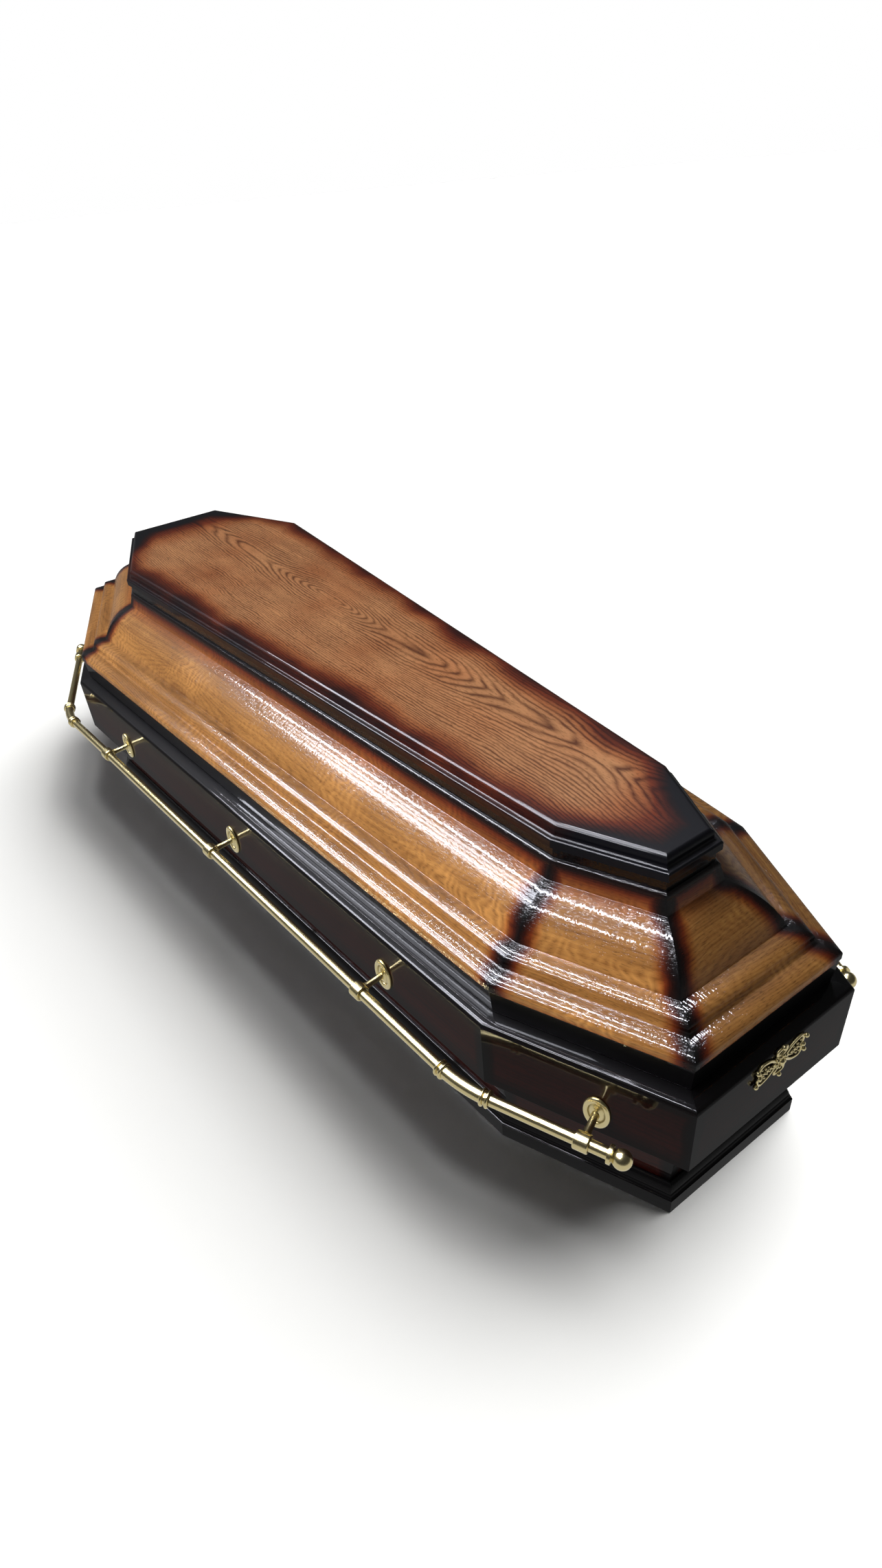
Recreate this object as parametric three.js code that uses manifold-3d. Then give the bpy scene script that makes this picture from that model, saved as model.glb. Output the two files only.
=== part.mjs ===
// A wooden coffin with an eight-sided plan, wide at the head and narrow at the foot.
// Millimetres, +Z up. The foot end faces +X and the head end -X. Left and right are those of someone who
// stands at the foot and looks towards the head, so the left side faces -Y. It stands on Z = 0, and the
// origin is under the middle of its overall length.
import * as THREE from 'three';
import { mergeVertices } from 'three/addons/utils/BufferGeometryUtils.js';
import Module from 'manifold-3d';

const wasm = await Module();
wasm.setup();

// Plan of the lid's wooden rim, which every other outline follows at its own inset
const LID_LENGTH = 1950;
const HEAD_WIDTH = 713;
const FOOT_WIDTH = 494;
const HEAD_END_WIDTH = 412;
const FOOT_END_WIDTH = 275;
const HEAD_CORNER_RUN = 369;
const FOOT_CORNER_RUN = 245;

// Heights of the main courses, from the ground up
const CASE_HEIGHT = 290;
const LID_BASE_HEIGHT = 41;
const FLOOR_THICKNESS = 18;

// Lid board: the outer moulding from the rim upwards and inwards
const FASCIA_HEIGHT = 10;
const LOWER_ROLL_WIDTH = 25;
const LOWER_ROLL_HEIGHT = 10;
const COVE_WIDTH = 6;
const COVE_HEIGHT = 9;
const UPPER_ROLL_WIDTH = 20;
const UPPER_ROLL_HEIGHT = 10;
const QUIRK_WIDTH = 9;
const DOME_WIDTH = 70;
const DOME_HEIGHT = 58;
const DOME_BULGE = 10.5;
const NECK_LEAN = 6;
const NECK_HEIGHT = 20;
const NECK_BEAD_WIDTH = 7;
const NECK_BEAD_HEIGHT = 9;
const BLACK_NECK_HEIGHT = 20;

// Lid board: its plain inner face
const LID_FOOT_THICKNESS = 45;
const LID_NECK_THICKNESS = 22;
const LID_INNER_BEND = 35;

// Lid base moulding, which leans in a little under the rim
const LID_BASE_SETBACK = 1;
const LID_BASE_LEAN = 4;
const LID_BASE_THICKNESS = 20;

// Lid top board and its two-step moulded edge
const TOP_BOARD_THICKNESS = 30;
const TOP_BOARD_OVERHANG = 6;
const TOP_LOWER_STEP_HEIGHT = 13;
const TOP_LOWER_ARRIS = 3;
const TOP_STEP_WIDTH = 3;
const TOP_COVE_WIDTH = 4;
const TOP_COVE_HEIGHT = 4;
const TOP_UPPER_ARRIS = 8;

// Case board: ledge and upright frieze at the top, and below them a panel that leans in towards the floor
const RIM_LEDGE = 21;
const RIM_FALL = 3;
const RIM_ARRIS = 7;
const FRIEZE_HEIGHT = 112;
const FRIEZE_COVE_HEIGHT = 26;
const PANEL_OUTSET = 4;
const PANEL_LEAN = 38;
const PANEL_THICKNESS = 26;

// Plinth moulding round the foot of the case
const PLINTH_HEIGHT = 50;
const PLINTH_THICKNESS = 15;
const PLINTH_FASCIA_HEIGHT = 28;
const PLINTH_COVE_HEIGHT = 6;

// Handle rails
const RAIL_RADIUS = 8;
const RAIL_STANDOFF = 47;
const RAIL_RISE = 42;
const ELBOW_REACH = 44;
const ELBOW_RADIUS = 9.5;
const COLLAR_RADIUS = 12.5;
const COLLAR_WIDTH = 5;
const COLLAR_SPACING = 8;
const RAIL_END_SETBACK = 74;
const CAP_LENGTH = 30;
const CAP_RADIUS = 13;
const CAP_BELLY = 15;
const CAP_NECK_RADIUS = 8;
const CAP_NECK_LENGTH = 2;
const CAP_SHOULDER = 22.5;
const CAP_SHOULDER_RADIUS = 10.4;
const BRACKET_END_SETBACK = 34;
const SIDE_BRACKETS = 3;
const BRACKET_PLATE_WIDTH = 38;
const BRACKET_PLATE_HEIGHT = 60;
const BRACKET_PLATE_THICKNESS = 5;
const BRACKET_ARM_RADIUS = 7;
const BRACKET_WAIST_RADIUS = 5;
const BRACKET_RING_WIDTH = 20;
const BRACKET_RING_WALL = 4;
const RING_CLEARANCE = 0.3;

// Plaque on the foot end
const PLAQUE_WIDTH = 108;
const PLAQUE_HEIGHT = 58;
const PLAQUE_THICKNESS = 4;
const PLAQUE_RIB = 4.5;
const PLAQUE_PEARL_RADIUS = 3.5;
const PLAQUE_TOP_RISE = 3;
const PLAQUE_CORE_RADIUS = 12;
const PLAQUE_PEARLS = 10;

// Seam that touching pieces keep between them
const SEAM = 0.3;

// Fineness of the round stretches
const ARC_STEPS = 4;
const DOME_STEPS = 9;
const ELBOW_STEPS = 6;
const ROUND_SIDES = 12;
const PEARL_SIDES = 6;

// Levels that follow from the courses
const LID_RIM_Z = CASE_HEIGHT + LID_BASE_HEIGHT;
const LID_BOARD_HEIGHT = FASCIA_HEIGHT + LOWER_ROLL_HEIGHT + COVE_HEIGHT + UPPER_ROLL_HEIGHT + DOME_HEIGHT
  + NECK_HEIGHT + NECK_BEAD_HEIGHT + BLACK_NECK_HEIGHT;
const NECK_INSET = LOWER_ROLL_WIDTH + COVE_WIDTH + UPPER_ROLL_WIDTH + QUIRK_WIDTH + DOME_WIDTH
  + NECK_LEAN + NECK_BEAD_WIDTH;
const TOP_BOARD_Z = LID_RIM_Z + LID_BOARD_HEIGHT;
const TOP_BOARD_INSET = NECK_INSET - TOP_BOARD_OVERHANG;
const RAIL_INSET = -(RIM_LEDGE + RAIL_STANDOFF);
const FRIEZE_TOP_Z = CASE_HEIGHT - RIM_FALL - RIM_ARRIS;
const FRIEZE_FOOT_Z = FRIEZE_TOP_Z - FRIEZE_HEIGHT;
const RAIL_Z = FRIEZE_FOOT_Z + RAIL_RISE;
const panelInset = (z) => PANEL_LEAN * (1 - z / CASE_HEIGHT) - PANEL_OUTSET;

// Finishes
const lacquer = (color) => new THREE.MeshStandardMaterial({ color, roughness: 0.12, metalness: 0 });
const lidWood = () => lacquer(0x9a6230);
const topWood = () => lacquer(0x87563a);
const blackLacquer = () => lacquer(0x0d0c0e);
const caseWood = () => lacquer(0x2a100c);
const gilt = () => new THREE.MeshStandardMaterial({ color: 0xb8a468, roughness: 0.35, metalness: 1 });

// The eight sides of the plan, anticlockwise from above, each from its first corner to the next
const halfLength = LID_LENGTH / 2;
const PLAN = [
  { name: 'foot_end', start: [halfLength, -FOOT_END_WIDTH / 2] },
  { name: 'foot_right_corner', start: [halfLength, FOOT_END_WIDTH / 2] },
  { name: 'right_side', start: [halfLength - FOOT_CORNER_RUN, FOOT_WIDTH / 2] },
  { name: 'head_right_corner', start: [-halfLength + HEAD_CORNER_RUN, HEAD_WIDTH / 2] },
  { name: 'head_end', start: [-halfLength, HEAD_END_WIDTH / 2] },
  { name: 'head_left_corner', start: [-halfLength, -HEAD_END_WIDTH / 2] },
  { name: 'left_side', start: [-halfLength + HEAD_CORNER_RUN, -HEAD_WIDTH / 2] },
  { name: 'foot_left_corner', start: [halfLength - FOOT_CORNER_RUN, -FOOT_WIDTH / 2] },
];

const coffin = new THREE.Group();
coffin.name = 'coffin';

// Each side gets a group of its own: X inwards, Y upwards and Z along the side from its first corner
for (const [index, side] of PLAN.entries()) {
  const next = PLAN[(index + 1) % PLAN.length];
  const from = new THREE.Vector3(side.start[0], side.start[1], 0);
  const to = new THREE.Vector3(next.start[0], next.start[1], 0);
  side.length = from.distanceTo(to);
  side.along = to.clone().sub(from).normalize();
  const up = new THREE.Vector3(0, 0, 1);
  const inward = up.clone().cross(side.along);
  side.group = new THREE.Group();
  side.group.position.copy(from);
  side.group.quaternion.setFromRotationMatrix(new THREE.Matrix4().makeBasis(inward, up, side.along));
  coffin.add(side.group);
}

// Each mitre is drawn in by the tangent of half its turn for every millimetre of inset
for (const [index, side] of PLAN.entries()) {
  const next = PLAN[(index + 1) % PLAN.length];
  const slope = Math.tan(side.along.angleTo(next.along) / 2);
  side.endSlope = slope;
  next.startSlope = slope;
}

const sideNamed = (name) => PLAN.find((side) => side.name === name);

// Closed solid from a geometry, for cutting and joining
function solidOf(geometry) {
  const bare = geometry.clone();
  bare.deleteAttribute('normal');
  bare.deleteAttribute('uv');
  const merged = mergeVertices(bare, 1e-4);
  return new wasm.Manifold(new wasm.Mesh({
    numProp: 3,
    vertProperties: new Float32Array(merged.attributes.position.array),
    triVerts: new Uint32Array(merged.index.array),
  }));
}

// Geometry from a closed solid
function geometryOf(solid) {
  const mesh = solid.getMesh();
  const geometry = new THREE.BufferGeometry();
  geometry.setAttribute('position', new THREE.BufferAttribute(new Float32Array(mesh.vertProperties), 3));
  geometry.setIndex(new THREE.BufferAttribute(new Uint32Array(mesh.triVerts), 1));
  geometry.computeVertexNormals();
  return geometry;
}

function joined(geometries) {
  const [first, ...rest] = geometries.map(solidOf);
  return geometryOf(rest.reduce((sum, solid) => sum.add(solid), first));
}

function addPiece(group, name, geometry, material) {
  const mesh = new THREE.Mesh(geometry, material);
  mesh.name = name;
  group.add(mesh);
  return mesh;
}

// Flat outline given a depth along +Z. A full circle or ellipse gets twice as many sides as its steps.
function slab(shape, depth, curveSegments) {
  return new THREE.ExtrudeGeometry(shape, { depth, steps: 1, bevelEnabled: false, curveSegments });
}

// A board run to a section and mitred at both ends. The section is drawn as inset and height.
function mitredBoard(side, section) {
  const geometry = slab(section, 1, ARC_STEPS);
  const position = geometry.attributes.position;
  for (let i = 0; i < position.count; i += 1) {
    const inset = position.getX(i);
    const atEnd = position.getZ(i) > 0.5;
    const place = atEnd
      ? side.length - inset * side.endSlope - SEAM / 2
      : inset * side.startSlope + SEAM / 2;
    position.setZ(i, place);
  }
  return geometry;
}

// Corners of the plan at an inset and a height
function planCorners(inset, z) {
  return PLAN.map((side) => {
    const place = new THREE.Vector3(inset, z, inset * side.startSlope);
    return place.applyQuaternion(side.group.quaternion).add(side.group.position);
  });
}

// Solid block whose outline follows the plan, drawn in to the given insets from its foot to its top
function planBlock(profile) {
  const rings = profile.map((point) => planCorners(point.x, point.y));
  const sides = PLAN.length;
  const top = (rings.length - 1) * sides;
  const index = [];
  for (let i = 0; i < sides; i += 1) {
    const next = (i + 1) % sides;
    for (let ring = 0; ring < top; ring += sides) {
      const above = ring + sides;
      index.push(ring + i, ring + next, above + next, ring + i, above + next, above + i);
    }
    if (i > 0 && next > 0) index.push(0, next, i, top, top + i, top + next);
  }
  const geometry = new THREE.BufferGeometry().setFromPoints(rings.flat());
  geometry.setIndex(index);
  geometry.computeVertexNormals();
  return geometry;
}

// Draws the moulding's curves one after another, each from where the last one ended
class Section {
  constructor(inset, height) {
    this.shape = new THREE.Shape();
    this.shape.moveTo(inset, height);
    this.inset = inset;
    this.height = height;
  }

  line(run, rise) {
    return this.lineTo(this.inset + run, this.height + rise);
  }

  lineTo(inset, height) {
    this.inset = inset;
    this.height = height;
    this.shape.lineTo(inset, height);
    return this;
  }

  // Round nose that leaves upright and ends level
  roll(run, rise) {
    this.shape.absellipse(this.inset + run, this.height, run, rise, Math.PI, Math.PI / 2, true, 0);
    this.inset += run;
    this.height += rise;
    return this;
  }

  // Hollow that leaves level and ends upright
  cove(run, rise) {
    this.shape.absellipse(this.inset, this.height + rise, run, rise, -Math.PI / 2, 0, false, 0);
    this.inset += run;
    this.height += rise;
    return this;
  }

  // Hollow under an overhang, which leaves upright and ends level further out
  overhang(run, rise) {
    this.shape.absellipse(this.inset - run, this.height, run, rise, 0, Math.PI / 2, false, 0);
    this.inset -= run;
    this.height += rise;
    return this;
  }

  // Shallow swelling that stands off its chord by the bulge
  swell(run, rise, bulge) {
    const chord = Math.hypot(run, rise);
    const radius = (chord * chord / 4 + bulge * bulge) / (2 * bulge);
    const half = Math.asin(chord / 2 / radius);
    const slope = Math.atan2(rise, run);
    const centreX = this.inset + run / 2 + (radius - bulge) * Math.sin(slope);
    const centreY = this.height + rise / 2 - (radius - bulge) * Math.cos(slope);
    const middle = slope + Math.PI / 2;
    for (let step = 1; step <= DOME_STEPS; step += 1) {
      const angle = middle + half - (2 * half * step) / DOME_STEPS;
      this.shape.lineTo(centreX + radius * Math.cos(angle), centreY + radius * Math.sin(angle));
    }
    this.inset += run;
    this.height += rise;
    return this;
  }
}

// Lid: eight moulded boards
function lidBoardSection() {
  const section = new Section(0, 0)
    .line(0, FASCIA_HEIGHT)
    .roll(LOWER_ROLL_WIDTH, LOWER_ROLL_HEIGHT)
    .cove(COVE_WIDTH, COVE_HEIGHT)
    .roll(UPPER_ROLL_WIDTH, UPPER_ROLL_HEIGHT)
    .line(QUIRK_WIDTH, 0)
    .swell(DOME_WIDTH, DOME_HEIGHT, DOME_BULGE)
    .line(NECK_LEAN, NECK_HEIGHT)
    .roll(NECK_BEAD_WIDTH, NECK_BEAD_HEIGHT)
    .line(0, BLACK_NECK_HEIGHT)
    .line(LID_NECK_THICKNESS, 0)
    .line(0, -LID_INNER_BEND)
    .lineTo(LID_FOOT_THICKNESS, 0);
  return section.shape;
}

const lidBoard = lidBoardSection();
for (const side of PLAN) {
  const piece = addPiece(side.group, `lid_board_${side.name}`, mitredBoard(side, lidBoard), lidWood());
  piece.position.y = LID_RIM_Z;
}

// Lid: black base mouldings under the boards
function lidBaseSection() {
  return new Section(LID_BASE_SETBACK + LID_BASE_LEAN, CASE_HEIGHT)
    .line(-LID_BASE_LEAN, LID_BASE_HEIGHT)
    .line(LID_BASE_THICKNESS + LID_BASE_LEAN, 0)
    .line(0, -LID_BASE_HEIGHT)
    .shape;
}

const lidBase = lidBaseSection();
for (const side of PLAN) {
  addPiece(side.group, `lid_base_${side.name}`, mitredBoard(side, lidBase), blackLacquer());
}

// Lid: top board with its two-step moulded edge
function topBoardSection() {
  return new Section(TOP_BOARD_INSET, 0)
    .line(0, TOP_LOWER_STEP_HEIGHT - TOP_LOWER_ARRIS)
    .roll(TOP_LOWER_ARRIS, TOP_LOWER_ARRIS)
    .line(TOP_STEP_WIDTH, 0)
    .cove(TOP_COVE_WIDTH, TOP_COVE_HEIGHT)
    .line(0, TOP_BOARD_THICKNESS - TOP_LOWER_STEP_HEIGHT - TOP_COVE_HEIGHT - TOP_UPPER_ARRIS)
    .roll(TOP_UPPER_ARRIS, TOP_UPPER_ARRIS)
    .shape;
}

const topBoardProfile = topBoardSection().getPoints(ARC_STEPS);
const topBoard = addPiece(coffin, 'lid_top_board', planBlock(topBoardProfile), topWood());
topBoard.position.z = TOP_BOARD_Z;

// Case: eight wall boards, each with its ledge, frieze, cove and leaning panel
function caseBoardSection() {
  const coveFootZ = FRIEZE_FOOT_Z - FRIEZE_COVE_HEIGHT;
  const coveFoot = panelInset(coveFootZ);
  return new Section(panelInset(FLOOR_THICKNESS), FLOOR_THICKNESS)
    .lineTo(coveFoot, coveFootZ)
    .overhang(coveFoot + RIM_LEDGE, FRIEZE_COVE_HEIGHT)
    .lineTo(-RIM_LEDGE, FRIEZE_TOP_Z)
    .roll(RIM_ARRIS, RIM_ARRIS)
    .lineTo(0, CASE_HEIGHT)
    .lineTo(panelInset(CASE_HEIGHT) + PANEL_THICKNESS, CASE_HEIGHT)
    .lineTo(panelInset(FLOOR_THICKNESS) + PANEL_THICKNESS, FLOOR_THICKNESS)
    .shape;
}

const caseBoard = caseBoardSection();
for (const side of PLAN) {
  addPiece(side.group, `case_board_${side.name}`, mitredBoard(side, caseBoard), caseWood());
}

// Case: floor board under the walls
const floorInset = panelInset(FLOOR_THICKNESS);
const floorProfile = [new THREE.Vector2(floorInset, 0), new THREE.Vector2(floorInset, FLOOR_THICKNESS)];
addPiece(coffin, 'case_floor', planBlock(floorProfile), caseWood());

// Case: plinth mouldings round the foot of the walls
function plinthSection() {
  const back = panelInset(PLINTH_HEIGHT) - SEAM;
  const rollHeight = PLINTH_HEIGHT - PLINTH_FASCIA_HEIGHT - PLINTH_COVE_HEIGHT;
  const coveWidth = PLINTH_THICKNESS / 3;
  return new Section(back - PLINTH_THICKNESS, 0)
    .line(0, PLINTH_FASCIA_HEIGHT)
    .cove(coveWidth, PLINTH_COVE_HEIGHT)
    .roll(PLINTH_THICKNESS - coveWidth, rollHeight)
    .lineTo(panelInset(FLOOR_THICKNESS) - SEAM, FLOOR_THICKNESS)
    .line(0, -FLOOR_THICKNESS)
    .shape;
}

const plinth = plinthSection();
for (const side of PLAN) {
  addPiece(side.group, `plinth_${side.name}`, mitredBoard(side, plinth), blackLacquer());
}

// Round bar or turned piece along the local Z axis, from its radii and places
function turned(profile) {
  const points = profile.map(([radius, place]) => new THREE.Vector2(radius, place));
  return new THREE.LatheGeometry(points, ROUND_SIDES).rotateX(Math.PI / 2);
}

function cylinder(radius, from, to) {
  return turned([[0, from], [radius, from], [radius, to], [0, to]]);
}

function collar(place) {
  const half = COLLAR_WIDTH / 2;
  return turned([[0, place - half], [ELBOW_RADIUS, place - half], [COLLAR_RADIUS, place],
    [ELBOW_RADIUS, place + half], [0, place + half]]);
}

// Straight tube of a rail between two places along a side
function railTube(side, name, from, to) {
  const piece = addPiece(side.group, name, cylinder(RAIL_RADIUS, from, to), gilt());
  piece.position.set(RAIL_INSET, RAIL_Z, 0);
}

// Elbow socket where the rail turns a corner, with a double collar at each mouth
function railElbow(before, after, name) {
  const turn = before.along.angleTo(after.along);
  const corner = new THREE.Vector3(0, 0, 0);
  const mouthA = new THREE.Vector3(0, 0, -ELBOW_REACH);
  const mouthB = new THREE.Vector3(Math.sin(turn), 0, Math.cos(turn)).multiplyScalar(ELBOW_REACH);
  const ring = new THREE.Shape();
  ring.absarc(0, 0, ELBOW_RADIUS, 0, 2 * Math.PI, false);
  const bend = new THREE.ExtrudeGeometry(ring, {
    extrudePath: new THREE.QuadraticBezierCurve3(mouthA, corner, mouthB),
    steps: ELBOW_STEPS, bevelEnabled: false, curveSegments: ROUND_SIDES / 2,
  });
  const collars = [COLLAR_WIDTH / 2, COLLAR_WIDTH / 2 + COLLAR_SPACING];
  const first = collars.map((place) => collar(place - ELBOW_REACH));
  const second = collars.map((place) => collar(ELBOW_REACH - place).rotateY(turn));
  const piece = addPiece(before.group, name, joined([bend, ...first, ...second]), gilt());
  piece.position.set(RAIL_INSET, RAIL_Z, before.length - RAIL_INSET * before.endSlope);
}

// Turned cap on the free end of a rail, pointing along the side by the given sign
function railCap(side, name, place, sign) {
  const cap = turned([[0, 0], [COLLAR_RADIUS, 0], [COLLAR_RADIUS, COLLAR_WIDTH],
    [CAP_NECK_RADIUS, COLLAR_WIDTH + CAP_NECK_LENGTH], [CAP_RADIUS, CAP_BELLY],
    [CAP_SHOULDER_RADIUS, CAP_SHOULDER], [0, CAP_LENGTH]]);
  if (sign < 0) cap.rotateY(Math.PI);
  const piece = addPiece(side.group, name, cap, gilt());
  piece.position.set(RAIL_INSET, RAIL_Z, place);
}

// Wall bracket: a plate on the frieze, a waisted arm and a ring that the tube passes through
function railBracket(side, name, place) {
  const bore = RAIL_RADIUS + RING_CLEARANCE;
  const ringRadius = bore + BRACKET_RING_WALL;
  const wall = RAIL_STANDOFF - SEAM;
  const outline = new THREE.Shape();
  outline.absellipse(0, 0, BRACKET_PLATE_WIDTH / 2, BRACKET_PLATE_HEIGHT / 2, 0, 2 * Math.PI, false, 0);
  const plate = slab(outline, BRACKET_PLATE_THICKNESS, ROUND_SIDES / 2);
  plate.rotateY(-Math.PI / 2).translate(wall, 0, 0);
  const armEnd = wall - BRACKET_PLATE_THICKNESS / 2;
  const arm = turned([[0, 0], [BRACKET_ARM_RADIUS, 0], [BRACKET_WAIST_RADIUS, wall / 2],
    [BRACKET_ARM_RADIUS, armEnd], [0, armEnd]]).rotateY(Math.PI / 2);
  const ring = cylinder(ringRadius, -BRACKET_RING_WIDTH / 2, BRACKET_RING_WIDTH / 2);
  const hole = cylinder(bore, -BRACKET_RING_WIDTH, BRACKET_RING_WIDTH);
  const body = solidOf(joined([plate, arm, ring])).subtract(solidOf(hole));
  const piece = addPiece(side.group, name, geometryOf(body), gilt());
  piece.position.set(RAIL_INSET, RAIL_Z, place);
}

// One whole rail: it runs along a long side and round onto the corner boards next to it
function handleRail(hand) {
  const side = sideNamed(`${hand}_side`);
  const foot = sideNamed(`foot_${hand}_corner`);
  const head = sideNamed(`head_${hand}_corner`);
  const footFirst = hand === 'right';
  const reach = ELBOW_REACH + SEAM;
  const sideStart = RAIL_INSET * side.startSlope;
  const sideEnd = side.length - RAIL_INSET * side.endSlope;
  railTube(side, `rail_tube_${hand}_side`, sideStart + reach, sideEnd - reach);
  for (let i = 0; i < SIDE_BRACKETS; i += 1) {
    const share = (i + 0.5) / SIDE_BRACKETS;
    railBracket(side, `rail_bracket_${hand}_side_${i + 1}`, sideStart + share * (sideEnd - sideStart));
  }
  for (const [corner, place, comesFirst] of [[foot, 'foot', footFirst], [head, 'head', !footFirst]]) {
    const elbowName = `rail_elbow_${hand}_${place}`;
    const capName = `rail_cap_${hand}_${place}`;
    const tubeName = `rail_tube_${hand}_${place}_corner`;
    const bracketName = `rail_bracket_${hand}_${place}_corner`;
    if (comesFirst) {
      const turnPlace = corner.length - RAIL_INSET * corner.endSlope;
      railElbow(corner, side, elbowName);
      railTube(corner, tubeName, RAIL_END_SETBACK, turnPlace - reach);
      railCap(corner, capName, RAIL_END_SETBACK - SEAM, -1);
      railBracket(corner, bracketName, RAIL_END_SETBACK + BRACKET_END_SETBACK);
    } else {
      const turnPlace = RAIL_INSET * corner.startSlope;
      railElbow(side, corner, elbowName);
      railTube(corner, tubeName, turnPlace + reach, corner.length - RAIL_END_SETBACK);
      railCap(corner, capName, corner.length - RAIL_END_SETBACK + SEAM, 1);
      railBracket(corner, bracketName, corner.length - RAIL_END_SETBACK - BRACKET_END_SETBACK);
    }
  }
}

handleRail('left');
handleRail('right');

// Plaque: openwork of drop-shaped loops round a pearled core, cast in one

// Drop-shaped loop that starts at the core and swells outwards to its reach
function dropLoop(reach, breadth, angle) {
  const outline = (grow) => {
    const path = new THREE.Path();
    const back = PLAQUE_CORE_RADIUS / 2 - grow;
    const tip = reach + grow;
    const half = breadth / 2 + grow;
    path.moveTo(back, 0);
    path.bezierCurveTo(back + reach * 0.3, half, reach * 0.55, half * 1.15, reach * 0.8, half);
    path.bezierCurveTo(tip, half * 0.8, tip, -half * 0.8, reach * 0.8, -half);
    path.bezierCurveTo(reach * 0.55, -half * 1.15, back + reach * 0.3, -half, back, 0);
    return path.getPoints(ARC_STEPS);
  };
  const shape = new THREE.Shape(outline(0));
  shape.holes.push(new THREE.Path(outline(-PLAQUE_RIB).reverse()));
  return slab(shape, PLAQUE_THICKNESS, ARC_STEPS).rotateZ(angle);
}

function pearl(x, y, radius) {
  const bead = new THREE.SphereGeometry(radius, PEARL_SIDES, PEARL_SIDES / 2);
  return bead.translate(x, y, Math.max(PLAQUE_THICKNESS - radius / 4, radius));
}

function plaqueGeometry() {
  const halfWidth = PLAQUE_WIDTH / 2 - PLAQUE_PEARL_RADIUS;
  const halfHeight = PLAQUE_HEIGHT / 2 - PLAQUE_PEARL_RADIUS;
  const breadth = halfHeight * 0.85;
  const lift = Math.atan2(breadth / 2, halfWidth * 0.8);
  const parts = [];
  const arms = [[halfWidth, lift], [halfWidth, -lift], [halfHeight, Math.PI / 2]];
  for (const turn of [0, Math.PI]) {
    for (const [reach, angle] of arms) {
      const aim = turn + angle;
      parts.push(dropLoop(reach, breadth, aim));
      parts.push(pearl(reach * Math.cos(aim), reach * Math.sin(aim), PLAQUE_PEARL_RADIUS));
    }
    const between = halfWidth * 0.8 + PLAQUE_PEARL_RADIUS;
    parts.push(pearl(Math.cos(turn) * between, 0, PLAQUE_PEARL_RADIUS));
  }
  parts.push(cylinder(PLAQUE_CORE_RADIUS, 0, PLAQUE_THICKNESS));
  parts.push(pearl(0, 0, PLAQUE_PEARL_RADIUS * 1.4));
  for (let i = 0; i < PLAQUE_PEARLS; i += 1) {
    const angle = (2 * Math.PI * i) / PLAQUE_PEARLS;
    const ring = PLAQUE_CORE_RADIUS - PLAQUE_PEARL_RADIUS * 0.8;
    parts.push(pearl(ring * Math.cos(angle), ring * Math.sin(angle), PLAQUE_PEARL_RADIUS * 0.7));
  }
  return joined(parts);
}

const footEnd = sideNamed('foot_end');
const plaque = addPiece(footEnd.group, 'foot_end_plaque', plaqueGeometry(), gilt());
plaque.rotation.y = -Math.PI / 2;
plaque.position.set(-RIM_LEDGE - SEAM, CASE_HEIGHT + PLAQUE_TOP_RISE - PLAQUE_HEIGHT / 2, footEnd.length / 2);

// Middle of the overall length, plaque included
const overall = new THREE.Box3().setFromObject(coffin);
coffin.position.x = -(overall.min.x + overall.max.x) / 2;

export default coffin;
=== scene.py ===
import math

import bmesh
import bpy
import numpy as np
from bpy.props import FloatProperty, FloatVectorProperty, IntProperty, PointerProperty
from mathutils import Matrix, Vector


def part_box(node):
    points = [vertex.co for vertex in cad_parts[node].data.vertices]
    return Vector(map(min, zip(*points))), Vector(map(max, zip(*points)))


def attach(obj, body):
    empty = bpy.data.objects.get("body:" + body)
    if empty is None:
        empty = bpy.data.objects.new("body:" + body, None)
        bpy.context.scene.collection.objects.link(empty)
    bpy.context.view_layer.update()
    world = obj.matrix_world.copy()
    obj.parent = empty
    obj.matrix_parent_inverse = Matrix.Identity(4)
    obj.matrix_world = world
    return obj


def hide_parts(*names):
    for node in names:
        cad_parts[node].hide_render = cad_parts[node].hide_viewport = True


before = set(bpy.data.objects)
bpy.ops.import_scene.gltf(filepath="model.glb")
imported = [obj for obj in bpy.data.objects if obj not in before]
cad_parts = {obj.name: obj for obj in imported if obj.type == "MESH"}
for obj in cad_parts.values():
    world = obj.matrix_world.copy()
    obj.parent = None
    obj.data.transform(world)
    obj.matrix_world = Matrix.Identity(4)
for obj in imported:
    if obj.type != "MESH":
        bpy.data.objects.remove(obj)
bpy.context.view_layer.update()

bl_info = {
    "name": "Lacquered Coffin",
    "version": (1, 0, 0),
    "blender": (4, 5, 0),
    "location": "3D View > Sidebar > Coffin",
    "description": "Eight-sided wooden coffin with moulded boards, gilt rails and an end plaque",
    "category": "Object",
}

BODY = "root"
MM = 0.001

# Plan of the lid's rim in mm. Every other outline follows it at its own inset.
LID_LENGTH = 1950
HEAD_WIDTH = 713
FOOT_WIDTH = 494
HEAD_END_WIDTH = 412
FOOT_END_WIDTH = 275
HEAD_CORNER_RUN = 369
FOOT_CORNER_RUN = 245
SIDE_NAMES = (
    "foot_end", "foot_right_corner", "right_side", "head_right_corner",
    "head_end", "head_left_corner", "left_side", "foot_left_corner",
)

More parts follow.
